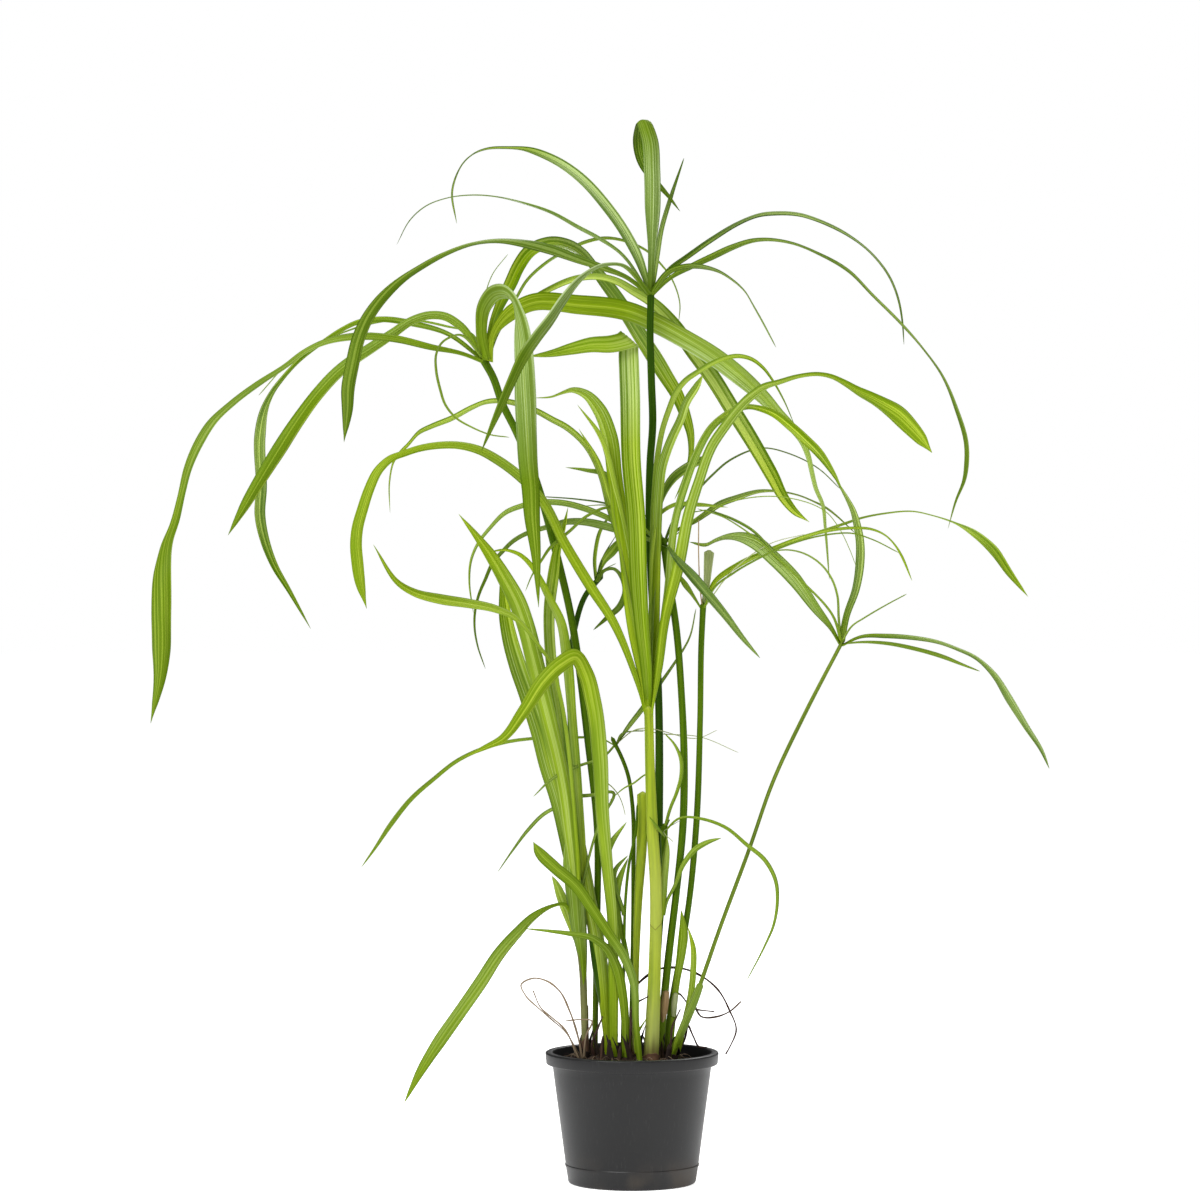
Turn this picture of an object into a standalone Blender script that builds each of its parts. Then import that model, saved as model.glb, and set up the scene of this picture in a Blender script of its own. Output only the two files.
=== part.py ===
"""A potted umbrella sedge: long stems with umbrellas of narrow arching leaves, in a plain nursery pot.

The frame is +Z up, with the origin at the middle of the pot's underside, and the plant's front
faces -Y. Lengths at the top are in millimetres, and the mesh is made in metres. The route of a leaf
or a stem is a list of places (x, z) as seen from the front, with its depth along Y given at some of
them.
"""
import math

import bmesh
import bpy
import numpy as np
from mathutils import Vector

MM = 0.001
TOUCH_GAP = 0.3
UPWARD = np.array([0.0, 0.0, 1.0])
NO_TURN = {0: 0.0}

# The eye that the routes are drawn from: level with the middle of the plant, 3 m in front of it.
EYE = np.array([-24.0, -3000.0, 436.5])

# Pot, soil and rhizome.
POT_HEIGHT = 98.0
POT_RIM_RADIUS = 65.0
POT_TOP_RADIUS = 61.0
POT_BASE_RADIUS = 48.0
POT_WALL = 1.6
POT_RIM_DROP = 9.0
POT_FOOT_EDGE = 2.0
RIM_SLOPE = 0.6
RIM_EDGE = 1.5
POT_SIDES = 28
DRAIN_HOLES = 6
DRAIN_HOLE_RADIUS = 4.0
DRAIN_HOLE_RING = 33.0
DRAIN_HOLE_SIDES = 8
SOIL_EDGE_Z = 88.0
SOIL_TOP_Z = 90.0
SOIL_FLAT_RADIUS = 50.0
RHIZOME_SHOULDER_Z = 93.5
RHIZOME_TOP_Z = 95.0
RHIZOME_CENTRE = (-5.0, 0.0)
RHIZOME_HALF_SIZE = (40.0, 27.0)
RHIZOME_SIDES = 24
STEM_BASE_Z = RHIZOME_TOP_Z + TOUCH_GAP
LEAF_BASE_Z = STEM_BASE_Z + 1.0

# Leaves and stems.
LEAF_THICKNESS = 0.8
LEAF_KEEL = 0.12
LEAF_ROOT_WIDTH = 1.8
LEAF_STATIONS = 14
TWIG_STATIONS = 9
TWIG_ROOT_DEPTH = 1.9
STEM_SIDES = 8
STEM_STATIONS = 9

# A crown on its stem: heights above the stem's end, with the share of the crown's radius there.
CROWN_STEPS = ((2.0, 1.0), (10.0, 1.0), (12.0, 0.5))

# How a route is laid: samples between two of its points, and how much its bends draw the stations closer.
SAMPLES_PER_SPAN = 12
BEND_WEIGHT = 0.8
LEAST_TURNING = 0.5

# A leaf's depth from its crown doubles at this distance to the side of the crown, and grows on with it.
SPREAD_REACH = 60.0

# How blades turn: the length in which most of a turn towards the eye is made, the slow sway about it in
# degrees and its length.
STEER_LENGTH = 22.0
SWAY = 18.0
SWAY_LENGTH = 32.0

# Each umbrella: the place of its crown (x, depth, z) and the crown's radius.
CROWNS = {
    "a": ((14.0, 18.0, 668.0), 3.8),
    "b": ((-110.0, -10.0, 618.0), 3.8),
    "c": ((12.5, -14.0, 356.0), 4.6),
    "d": ((157.0, -30.0, 406.0), 2.9),
    "e": ((53.0, 8.0, 431.0), 3.0),
    "f": ((24.0, 2.0, 480.0), 3.4),
    "g": ((-12.0, 6.0, 330.0), 2.2),
    "h": ((24.0, 0.0, 265.0), 2.8),
    "i": ((-27.0, 14.0, 453.0), 2.6),
    "l": ((-41.0, -2.0, 206.0), 4.0),
}

GREEN_DARK = (0.045, 0.13, 0.012)
GREEN_MID = (0.12, 0.26, 0.02)
GREEN_YELLOW = (0.30, 0.44, 0.02)
BROWN_PURPLE = (0.10, 0.055, 0.03)
RHIZOME_BROWN = (0.03, 0.018, 0.012)
SOIL_BROWN = (0.03, 0.019, 0.012)
POT_BLACK = (0.012, 0.012, 0.013)

# Stems: crown letter or None, route from the ground (x, z), depths {point: depth},
# radii {point: radius}, colour.
STEMS = {
    "culm_a": ("a", [(17, 95), (18, 150), (20, 266), (19.5, 374), (14.5, 450), (12.7, 500), (13.5, 540),
                     (15.4, 568), (14.5, 600), (13.5, 640), (14, 664)],
               {0: 14, 3: 15, 10: 18}, {0: 3.4, 3: 2.9, 10: 2.7}, GREEN_DARK),
    "culm_b": ("b", [(-28, 95), (-27, 160), (-26, 210), (-26, 260), (-33, 330), (-41, 395), (-46, 425),
                     (-57, 472), (-67, 510), (-76, 537), (-88, 565), (-97, 583), (-105, 605), (-110, 614)],
               {0: 10, 3: 9, 5: 2, 7: 2, 13: -10}, {0: 2.2, 5: 2.9, 13: 2.9}, GREEN_DARK),
    "culm_c": ("c", [(14, 95), (15.5, 125), (17, 166), (17.5, 226), (15, 266), (13.5, 306), (12.5, 350)],
               {0: -14, 6: -14}, {0: 5.6, 2: 4.7, 4: 4.2, 6: 3.4}, GREEN_YELLOW),
    "culm_d": ("d", [(29, 95), (34, 106), (42, 124), (51, 148), (65, 188), (88, 250), (106, 301),
                     (130, 352), (156, 402)],
               {0: -9, 3: -14, 8: -30}, {0: 4.2, 3: 2.9, 4: 2.0, 8: 1.8}, GREEN_DARK),
    "culm_e": ("e", [(25, 95), (30, 135), (36, 169), (42, 205), (48, 266), (51, 346), (52, 406), (53, 427)],
               {0: 6, 7: 8}, {0: 2.5, 7: 2.2}, GREEN_DARK),
    "culm_f": ("f", [(21, 95), (23, 125), (27, 166), (33, 216), (38, 266), (39, 316), (37, 366), (33, 416),
                     (27, 455), (24, 476)],
               {0: -2, 4: -1, 9: 2}, {0: 2.9, 9: 2.6}, GREEN_DARK),
    "culm_g": ("g", [(-1, 95), (0, 150), (1, 230), (0, 285), (-3, 305), (-9, 321), (-12, 327)],
               {0: 9, 3: 8, 6: 6}, {0: 1.8, 6: 1.5}, GREEN_MID),
    "culm_h": ("h", [(12, 95), (18, 150), (21.5, 197), (24, 230), (24, 261)],
               {0: 1, 4: 0}, {0: 2.2, 2: 2.2, 3: 3.4, 4: 2.6}, GREEN_MID),
    "culm_i": ("i", [(-15, 95), (-18, 120), (-24, 150), (-29, 185), (-34, 225), (-39, 260), (-44, 300),
                     (-46, 340), (-46.5, 380), (-43, 415), (-33, 443), (-27, 450)],
               {0: 1, 3: 2, 6: 8, 8: 12, 11: 14}, {0: 3.0, 2: 4.2, 4: 3.6, 6: 2.4, 11: 2.0}, GREEN_YELLOW),
    "culm_k": (None, [(-8, 95), (-6, 165), (-5, 210), (-2, 240), (3, 264), (4, 284)],
               {0: -9, 5: -11}, {0: 1.1, 4: 1.1, 5: 0.7}, GREEN_DARK),
    "culm_l": ("l", [(-35, 95), (-36, 130), (-37, 158), (-40, 190), (-41, 202)],
               {0: -3, 4: -2}, {0: 2.7, 2: 2.7, 3: 3.6, 4: 3.2}, BROWN_PURPLE),
    "old_stub": (None, [(3, 95), (2.5, 130), (3, 165), (4.5, 210), (7, 250), (8, 293)],
                 {0: -5, 5: -3}, {0: 2.6, 2: 2.3, 3: 3.2, 4: 4.0, 5: 4.2}, GREEN_YELLOW),
}

# Leaves: crown letter or None, (azimuth in degrees, height on the crown) or the facing azimuth,
# route as seen, and depths and widths at some of its points, colour.
# Point 0 is the root on the crown, or the first place of a leaf that grows from the ground.
LEAVES = {
    "leaf_a1": ("a", (270, 7), [(15, 700), (15.5, 730), (15, 760), (13, 783), (8, 795), (5, 784), (8, 764),
                                (18, 750), (26, 741), (36, 728)],
                {0: 18, 1: 8, 3: 6, 4: 9, 5: 14, 6: 19, 10: 24},
                {1: 6, 2: 12, 4: 13, 6: 10, 8: 5, 10: 0.8}, GREEN_DARK),
    "leaf_a2": ("a", (60, 8), [(19, 696), (22, 714), (28, 735), (39, 768)],
                {0: 18, 1: 26, 4: 34}, {1: 4, 3: 3.5, 4: 0.8}, GREEN_MID),
    "leaf_a3": ("a", (140, 7), [(3, 697), (-7, 715), (-20, 733), (-35, 750), (-50, 762), (-65, 770),
                                (-80, 775), (-95, 776), (-110, 775), (-120, 771), (-128, 763), (-133, 752),
                                (-135, 742), (-131.5, 719)],
                {0: 18, 1: 28, 7: 48, 14: 62},
                {1: 8, 3: 8.2, 6: 7, 8: 6.5, 12: 4.5, 13: 3, 14: 0.8}, GREEN_DARK),
    "leaf_a4": ("a", (168, 3), [(-10, 698), (-25, 708), (-40, 716), (-60, 727), (-80, 734), (-100, 739),
                                (-120, 740.5), (-140, 738), (-155, 732), (-167, 721), (-176.5, 703)],
                {0: 18, 1: 22, 11: 44}, {1: 3, 5: 4, 9: 3, 11: 0.8}, GREEN_MID),
    "leaf_a5": ("a", (196, 0), [(-5, 679), (-20, 685), (-40, 692), (-60, 699), (-80, 703.5), (-100, 705.5),
                                (-120, 703), (-140, 696), (-160, 685), (-175, 675), (-190, 660),
                                (-200, 645), (-206, 630), (-210, 612), (-213, 595), (-213.5, 578),
                                (-216, 555)],
                {0: 18, 1: 12, 17: -30}, {1: 4, 4: 8, 11: 9.5, 15: 9.8, 16: 8, 17: 0.8}, GREEN_MID),
    "leaf_a6": ("a", (226, 2), [(-6, 687), (-20, 688), (-32, 683), (-42, 674), (-52, 661), (-62, 646),
                                (-72, 633), (-82, 618), (-91, 599), (-98, 583), (-105, 567), (-113, 548)],
                {0: 18, 1: -6, 3: -30, 6: -48, 12: -60}, {1: 4, 3: 8, 8: 8.5, 10: 6, 12: 0.8}, GREEN_MID),
    "leaf_a7": ("a", (25, 4), [(30, 686), (40, 693), (60, 707), (80, 719), (95, 725), (110, 726.5),
                               (125, 725.5), (140, 721), (163, 709.5), (181, 695), (193, 679), (199.5, 663),
                               (202.6, 647), (204, 628)],
                {0: 18, 1: 26, 14: 66}, {1: 4, 5: 4.6, 9: 4, 12: 2.6, 14: 0.8}, GREEN_MID),
    "leaf_a8": ("a", (345, 1), [(30, 679), (45, 687), (60, 694), (75, 701), (90, 706), (100, 707),
                                (120, 704.5), (143, 695), (163, 683), (181, 665), (203, 643), (219, 625),
                                (233, 605), (243, 581), (250.5, 555), (251, 541), (249, 526), (243, 511),
                                (237, 490)],
                {0: 18, 1: 12, 19: -26}, {1: 4, 4: 7, 9: 6, 14: 6.5, 16: 5, 19: 0.8}, GREEN_MID),
    "leaf_a9": ("a", (315, 4), [(30, 684), (45, 687), (55, 686), (65, 683), (75, 677), (85, 668), (92, 656),
                                (98, 645), (108, 626)],
                {0: 18, 1: 4, 9: -22}, {1: 5, 2: 5, 4: 4.4, 7: 3.5, 9: 0.8}, GREEN_MID),
    "leaf_b1": ("b", (286, 7), [(-113, 640), (-111, 656), (-104, 666), (-95, 668), (-88, 662), (-84, 648),
                                (-81, 620), (-80, 590), (-79, 560), (-78, 540), (-76, 520), (-75, 500),
                                (-72, 470), (-70, 431)],
                {0: -10, 1: -16, 3: -26, 5: -38, 6: -42, 14: -44},
                {1: 8, 3: 13, 6: 15, 8: 16, 11: 14, 12: 12, 14: 0.8}, GREEN_MID),
    "leaf_b2": ("b", (345, 3), [(-103, 638), (-93, 650), (-77, 659), (-40, 658), (0, 652), (20, 643),
                                (40, 632), (60, 620), (80, 605), (100, 587), (110, 576), (120, 566),
                                (127, 557), (132, 545), (135, 532), (138, 520), (143, 508), (145, 490),
                                (148, 452)],
                {0: -10, 1: -10, 2: -8, 3: -4, 4: 0, 5: 2.5, 6: 2.5, 8: 0.5, 10: -1.8, 19: -5.8},
                {1: 6, 2: 12, 4: 15, 7: 15, 9: 14, 12: 7, 14: 4, 17: 3, 19: 0.8}, GREEN_YELLOW),
    "leaf_b3": ("b", (20, 8), [(-103, 648), (-98, 660), (-91, 674), (-85, 687), (-77, 698), (-60, 705),
                               (-45, 702), (-35, 695), (-25, 681), (-15, 668), (-3, 650), (8, 632),
                               (17, 618), (25, 605), (34, 590), (40, 575), (44, 560), (44, 545), (40, 530),
                               (32, 512)],
                {0: -10, 1: -6, 5: 14, 9: 34, 20: 42},
                {1: 6, 3: 10, 9: 10, 13: 13, 16: 9, 18: 4, 20: 0.8}, GREEN_YELLOW),
    "leaf_b4": ("b", (60, 3), [(-98, 642), (-85, 655), (-65, 668), (-40, 678), (-25, 679), (-10, 675),
                               (0, 669), (15, 660), (30, 645), (45, 624), (60, 604), (75, 580), (90, 556),
                               (105, 530), (114, 513), (122, 503), (133, 495)],
                {0: -10, 1: -2, 3: 4, 5: 5, 8: 5.5, 17: 6},
                {1: 3, 6: 6, 9: 10, 11: 13, 14: 11, 16: 6, 17: 0.8}, GREEN_YELLOW),
    "leaf_b5": ("b", (185, 5), [(-130, 643), (-140, 649), (-152, 650), (-165, 646), (-180, 636),
                                (-195, 626), (-210, 616), (-220, 608), (-235, 592), (-250, 572),
                                (-265, 549), (-280, 525), (-290, 508), (-303, 485)],
                {0: -10, 14: -22}, {1: 7, 4: 7, 8: 9, 11: 11, 13: 8, 14: 0.8}, GREEN_MID),
    "leaf_b6": ("b", (158, 2), [(-140, 637), (-165, 644), (-185, 647), (-205, 645), (-220, 638),
                                (-235, 628), (-250, 616), (-262, 603), (-270, 592), (-276, 578),
                                (-279, 560), (-278, 520), (-279, 500), (-275, 480), (-268, 462),
                                (-258, 445), (-241, 415)],
                {0: -10, 1: 2, 17: 34},
                {1: 4, 5: 7, 8: 7.5, 11: 9, 13: 8.6, 14: 7.4, 15: 6, 16: 4, 17: 0.8}, GREEN_MID),
    "leaf_b7": ("b", (214, 0), [(-130, 622), (-150, 626), (-175, 632), (-190, 634), (-210, 634),
                                (-230, 630), (-245, 623), (-260, 612), (-280, 599), (-300, 584),
                                (-315, 570), (-325, 554), (-333, 535), (-338, 515), (-343, 495),
                                (-349, 478), (-352, 460), (-353, 430), (-353, 400), (-354, 380),
                                (-361, 344)],
                {0: -10, 1: -20, 21: -62}, {1: 4, 5: 7, 10: 8, 14: 10, 17: 14, 19: 13.5, 20: 9, 21: 0.8},
                GREEN_MID),
    "leaf_c1": ("c", (262, 5), [(11, 380), (7, 420), (5, 450), (3, 500), (-0.5, 540), (-0.5, 580), (0, 606),
                                (-3, 622), (-14, 630), (-30, 628), (-45, 625), (-60, 621.5), (-79, 619)],
                {0: -14, 1: -22, 7: -26, 9: -19, 13: -14},
                {1: 8, 3: 12, 7: 15, 9: 13, 11: 8, 12: 5, 13: 0.8}, GREEN_YELLOW),
    "leaf_c2": ("c", (232, 3), [(6, 385), (1, 410), (-6, 480), (-13, 530), (-17, 560), (-25, 580),
                                (-35, 591), (-45, 594), (-52, 592), (-60, 589), (-73, 588)],
                {0: -14, 1: -16, 11: -8}, {1: 6, 3: 10, 5: 12, 6: 11, 8: 4, 9: 2, 11: 0.8}, GREEN_YELLOW),
    "leaf_c3": ("c", (60, 6), [(17, 385), (18, 420), (18.5, 460), (20.5, 519), (22, 534), (26, 548),
                               (30, 558), (36.5, 572), (41, 585), (48, 596), (53, 605)],
                {0: -14, 1: -9, 11: -6}, {1: 5, 4: 7, 7: 7, 10: 6, 11: 2.5}, GREEN_YELLOW),
    "leaf_c4": ("c", (335, 4), [(20, 385), (24.7, 421), (35, 463), (43.6, 505), (50, 525), (60, 552),
                                (70, 567), (80, 580), (90, 590), (100, 597), (110, 600), (125, 604.5),
                                (140, 606), (150, 604), (160, 599), (170, 593), (180, 588), (190, 582),
                                (200, 575), (210, 565), (218, 556), (225, 547)],
                {0: -14, 1: -18, 6: -24, 9: -34, 22: -46},
                {1: 6, 3: 9, 5: 8, 8: 7, 13: 7, 17: 11, 19: 15, 21: 9, 22: 1.5}, GREEN_YELLOW),
    "leaf_c5": ("c", (15, 7), [(19, 390), (28, 440), (35.5, 500), (42, 522), (50, 545), (60, 565),
                               (70, 575), (80, 580), (92, 581), (105, 577), (120, 566), (130, 557),
                               (140, 547), (150, 533), (158, 519)],
                {0: -14, 1: -11, 6: -9, 9: -30, 15: -38}, {1: 6, 3: 9, 5: 8, 8: 5, 11: 7, 13: 7, 15: 0.8},
                GREEN_YELLOW),
    "leaf_c6": ("c", (90, 4), [(15, 385), (15, 450), (17, 520), (20, 550), (23, 565), (28, 580), (33, 592),
                               (40, 601), (50, 608), (60, 614), (70, 618), (80, 619.5), (90, 617),
                               (98, 611), (105, 602), (112, 590), (123, 565)],
                {0: -14, 1: -7, 2: -3, 6: 0, 17: -6}, {1: 4, 7: 4.5, 14: 3, 17: 0.8}, GREEN_YELLOW),
    "leaf_c7": ("c", (196, 6), [(2, 381), (-13.5, 419), (-32, 448), (-50, 478), (-68, 512), (-84, 529),
                                (-100, 541), (-115, 549), (-130, 552.5), (-145, 552.5), (-160, 550),
                                (-172, 546), (-180, 543), (-190, 534), (-197, 520), (-202, 505),
                                (-206, 490), (-207, 478), (-206, 465), (-204, 450), (-199, 430)],
                {0: -14, 1: -16, 5: -20, 21: -30}, {1: 5, 3: 8, 9: 7, 14: 8, 19: 9, 20: 8, 21: 0.8},
                GREEN_YELLOW),
    "leaf_c8": ("c", (155, 2), [(8, 390), (0, 440), (-12, 490), (-17, 506), (-24, 532), (-35, 553),
                                (-49, 566), (-60, 572), (-71, 578), (-87, 584), (-100, 586), (-110, 585),
                                (-120, 581), (-135, 573), (-150, 567), (-160, 562), (-168, 553),
                                (-174, 547), (-179, 540), (-182, 525), (-181.5, 502)],
                {0: -14, 1: -11, 3: -8, 21: 22}, {1: 3, 4: 5, 14: 5, 19: 4, 21: 0.8}, GREEN_YELLOW),
    "leaf_d1": ("d", (172, 3), [(149, 416), (138, 430), (121, 453), (105, 469), (92, 480), (81, 484),
                                (71, 484), (62, 481), (56, 478), (43, 480)],
                {0: -30, 1: -28, 10: -14}, {1: 5, 3: 11, 5: 11, 7: 6, 9: 4, 10: 0.8}, GREEN_MID),
    "leaf_d2": ("d", (78, 6), [(161, 425), (168, 445), (171, 465), (171, 480), (169, 492), (166, 503),
                               (160, 515), (152, 528)],
                {0: -30, 1: -24, 8: -10}, {1: 5, 3: 7, 5: 6, 8: 0.8}, GREEN_MID),
    "leaf_d3": ("d", (345, 1), [(172, 409), (191, 409.5), (212, 408), (229, 405), (243, 400), (258, 393),
                                (271, 381), (283, 362), (296, 341), (307, 324), (313, 310)],
                {0: -30, 1: -34, 11: -60}, {1: 3, 5: 5, 8: 6, 10: 3, 11: 0.8}, GREEN_MID),
    "leaf_e1": ("e", (345, 2), [(62, 449), (75, 459), (90, 467.5), (105, 474.5), (120, 480.5), (135, 485.5),
                                (150, 489), (165, 490.5), (180, 489.5), (190, 485), (197, 478), (202, 470),
                                (210, 451)],
                {0: 8, 1: 4, 13: -16}, {1: 3, 5: 5, 10: 4, 13: 0.8}, GREEN_MID),
    "leaf_e2": ("e", (30, 4), [(62, 451), (80, 464), (100, 473), (120, 481), (145, 489), (160, 494),
                               (172, 498), (190, 501.5), (210, 503), (225, 500), (243, 494), (256, 487),
                               (271, 474), (283, 457), (297, 439)],
                {0: 8, 1: 14, 15: 56}, {1: 3, 6: 4, 10: 5, 13: 8, 14: 6, 15: 0.8}, GREEN_MID),
    "leaf_f1": ("f", (290, 3), [(27.5, 476), (33, 468), (45, 455), (56, 442), (70, 425), (83, 408),
                                (96, 393)],
                {0: 2, 1: -12, 2: -26, 7: -34}, {1: 2.5, 2: 5, 3: 8, 5: 6, 6: 4, 7: 0.8}, GREEN_DARK),
    "leaf_f2": ("f", (30, 5), [(34, 489), (46, 495), (55, 501), (65, 508), (78, 513), (95, 518), (110, 518),
                               (125, 515), (135, 511), (145, 506), (153, 500), (167, 487)],
                {0: 2, 1: 10, 12: 44}, {1: 3, 4: 5, 8: 4, 12: 0.8}, GREEN_MID),
    "leaf_f3": ("f", (160, 6), [(8, 489), (-10, 494), (-20, 499), (-35, 505), (-50, 509), (-63, 510),
                                (-75, 509), (-83, 507), (-95, 502), (-107, 490), (-116, 478), (-121, 465),
                                (-122, 450), (-119, 427)],
                {0: 2, 1: 8, 14: 42}, {1: 3, 4: 5, 9: 4, 14: 0.8}, GREEN_MID),
    "leaf_f4": ("f", (190, 2), [(10, 483), (-10, 489), (-20, 492), (-35, 495), (-50, 495), (-60, 492),
                                (-68, 490), (-80, 486), (-90, 480), (-97, 473), (-104, 465), (-110, 452),
                                (-115, 440), (-118, 425), (-118, 415), (-116, 403), (-110, 385)],
                {0: 2, 1: 1, 7: 16, 17: 12}, {1: 4, 3: 7, 6: 4, 11: 3, 17: 0.8}, GREEN_DARK),
    "leaf_i1": ("i", (320, 2), [(-20, 459), (-14, 460), (-8, 454), (-5, 443), (-9, 432), (-19, 423),
                                (-29, 414)],
                {0: 14, 1: 9, 7: 0}, {1: 3, 3: 5, 5: 6, 6: 4, 7: 0.8}, GREEN_DARK),
    "leaf_l1": ("l", (250, 5), [(-43, 235), (-46, 260), (-50, 290), (-56, 320), (-62, 345), (-68, 370),
                                (-74, 395), (-79, 415), (-86, 435), (-95, 452), (-106, 470), (-117, 485),
                                (-130, 501)],
                {0: -2, 1: -9, 13: -16}, {1: 9, 3: 12, 9: 14, 11: 9, 12: 5, 13: 0.8}, GREEN_YELLOW),
    "leaf_l2": ("l", (150, 3), [(-46, 235), (-50, 260), (-55, 285), (-63, 312), (-70, 340), (-78, 365),
                                (-85, 385), (-91, 405), (-95, 425), (-97, 445), (-98, 462)],
                {0: -2, 1: 3, 11: 4}, {1: 8, 3: 13, 7: 14, 9: 10, 11: 0.8}, GREEN_YELLOW),
    "leaf_l3": ("l", (290, 3), [(-40, 230), (-42, 260), (-46, 310), (-54, 365), (-61, 390), (-69, 401),
                                (-77, 412), (-89, 424), (-103, 430), (-123, 434), (-143, 437), (-163, 442),
                                (-175, 449), (-194, 478)],
                {0: -2, 1: -12, 5: -17, 14: -34}, {1: 3, 5: 3, 7: 3, 9: 6, 11: 8, 12: 6, 14: 0.8},
                GREEN_YELLOW),
    "leaf_l4": ("l", (60, 7), [(-42, 240), (-47, 290), (-54, 345), (-61, 395), (-62, 430), (-59, 455),
                               (-56, 475), (-51, 492), (-48, 506)],
                {0: -2, 1: 1, 4: -2, 5: -6, 9: -9}, {1: 5, 3: 8, 6: 9, 7: 6, 9: 0.8}, GREEN_YELLOW),
    "leaf_l5": ("l", (20, 1), [(-37, 235), (-40, 290), (-45, 350), (-49, 395), (-54, 422), (-62, 438),
                               (-69, 452), (-76, 463), (-85, 471), (-95, 474), (-109, 472)],
                {0: -2, 1: -3, 4: -8, 5: -12, 11: -13}, {1: 5, 4: 8, 6: 6, 9: 3, 11: 0.8}, GREEN_YELLOW),
    "leaf_l6": ("l", (200, 1), [(-52, 209), (-60, 207), (-74, 199), (-86, 187), (-99, 172), (-114, 149),
                                (-130, 126), (-144, 106), (-158, 84), (-171, 59)],
                {0: -2, 1: -6, 10: -36}, {1: 4, 3: 8, 5: 10, 8: 10, 9: 7, 10: 0.8}, GREEN_MID),
    "leaf_fold": (None, 270, [(-14, 96.5), (-14, 150), (-15, 200), (-18, 231), (-22, 275), (-24, 318),
                              (-29, 360), (-35, 382), (-43, 394), (-54, 388), (-66, 376), (-82, 352),
                              (-98, 332), (-110, 326), (-128, 318)],
                  {0: -13, 5: -22, 7: -26, 9: -40, 10: -46, 14: -52},
                  {0: 6, 2: 7, 4: 9, 5: 11, 10: 11, 11: 9, 12: 6, 14: 0.8}, GREEN_YELLOW),
    "leaf_low_left": (None, 270, [(6, 96.5), (3, 120), (1, 150), (-6, 169), (-18, 187), (-30, 205),
                                  (-42, 222), (-58, 236), (-70, 248), (-74, 255)],
                      {0: -24, 3: -28, 9: -34}, {0: 4, 3: 7, 6: 9, 8: 9, 9: 1.0}, GREEN_DARK),
    "leaf_low_left_2": (None, 270, [(-5, 96.5), (-5, 118), (-7, 140), (-12, 162), (-20, 176), (-30, 183),
                                    (-45, 186), (-60, 188), (-80, 190)],
                        {0: -15, 4: -20, 8: -24}, {0: 5, 3: 8, 5: 5, 6: 4, 8: 0.8}, GREEN_MID),
    "leaf_low_right": (None, 270, [(28, 96.5), (31, 125), (33.5, 150), (37, 172), (38.5, 187), (37, 204)],
                       {0: -1.5, 5: 0}, {0: 4, 2: 5, 3: 7, 4: 8, 5: 0.8}, GREEN_DARK),
    "leaf_low_right_2": (None, 270, [(33, 96.5), (39, 118), (44, 140), (46, 160), (46, 175), (42, 191)],
                         {0: 3, 5: -2}, {0: 4, 2: 5, 4: 4.5, 5: 0.8}, GREEN_YELLOW),
}

# Where a blade turns away from the eye: degrees at some of its points.
TURNS = {
    "leaf_a3": {0: 0, 5: 20, 6: 42, 7: 62, 8: 72, 10: 65, 12: 55, 13: 20},
    "leaf_a4": {0: 40, 2: 25, 3: 58, 5: 74, 6: 68, 10: 60},
    "leaf_a5": {0: 0, 3: 20, 4: 50, 5: 78, 7: 76, 8: 64, 10: 57, 11: 45, 12: 0},
    "leaf_a7": {0: 0, 2: 0, 3: 45, 4: 66, 5: 78, 6: 78, 8: 68, 9: 58, 12: 45},
    "leaf_a8": {0: 0, 3: 20, 4: 52, 5: 62, 6: 72, 7: 80, 9: 78, 10: 72, 12: 66, 14: 58, 15: 42, 17: 45},
    "leaf_a9": {0: 0, 2: 0, 3: 65, 4: 60, 7: 52, 8: 30},
    "leaf_b6": {0: 0, 2: 40, 3: 60, 5: 58, 6: 35, 7: 56, 8: 50, 9: 22, 10: 0},
    "leaf_b7": {0: 0, 2: 30, 5: 52, 8: 62, 11: 66, 12: 62, 14: 48, 16: 38, 17: 0},
    "leaf_c1": {0: 0, 6: 0, 7: 20, 8: 60, 9: 45, 10: 15, 11: 0},
    "leaf_c4": {0: 0, 8: 0, 9: 42, 11: 54, 12: 62, 14: 56, 16: 48, 17: 36, 18: 18, 19: 0},
    "leaf_c6": {0: 0, 10: 0, 11: 40, 12: 66, 13: 56, 14: 66, 17: 60},
    "leaf_c7": {0: 0, 6: 0, 7: 45, 8: 60, 9: 70, 11: 68, 12: 42, 13: 25, 14: 0},
    "leaf_c8": {0: 0, 7: 15, 8: 62, 9: 30, 12: 48, 13: 0, 15: 20, 17: 60},
    "leaf_d1": {0: 0, 4: 0, 5: 35, 7: 55, 8: 42, 9: 0},
    "leaf_d3": {0: 0, 1: 0, 2: 38, 3: 48, 5: 44, 6: 36, 7: 20, 8: 0},
    "leaf_e1": {0: 0, 2: 0, 3: 45, 5: 46, 6: 25, 7: 0, 8: 0, 9: 60, 10: 74, 11: 55, 12: 0},
    "leaf_e2": {0: 0, 5: 0, 6: 30, 7: 64, 8: 72, 10: 76, 11: 70, 12: 32, 13: 12, 14: 0},
    "leaf_fold": {0: 0, 6: 0, 7: 20, 8: 40, 9: 20, 10: 0},
}

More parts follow.
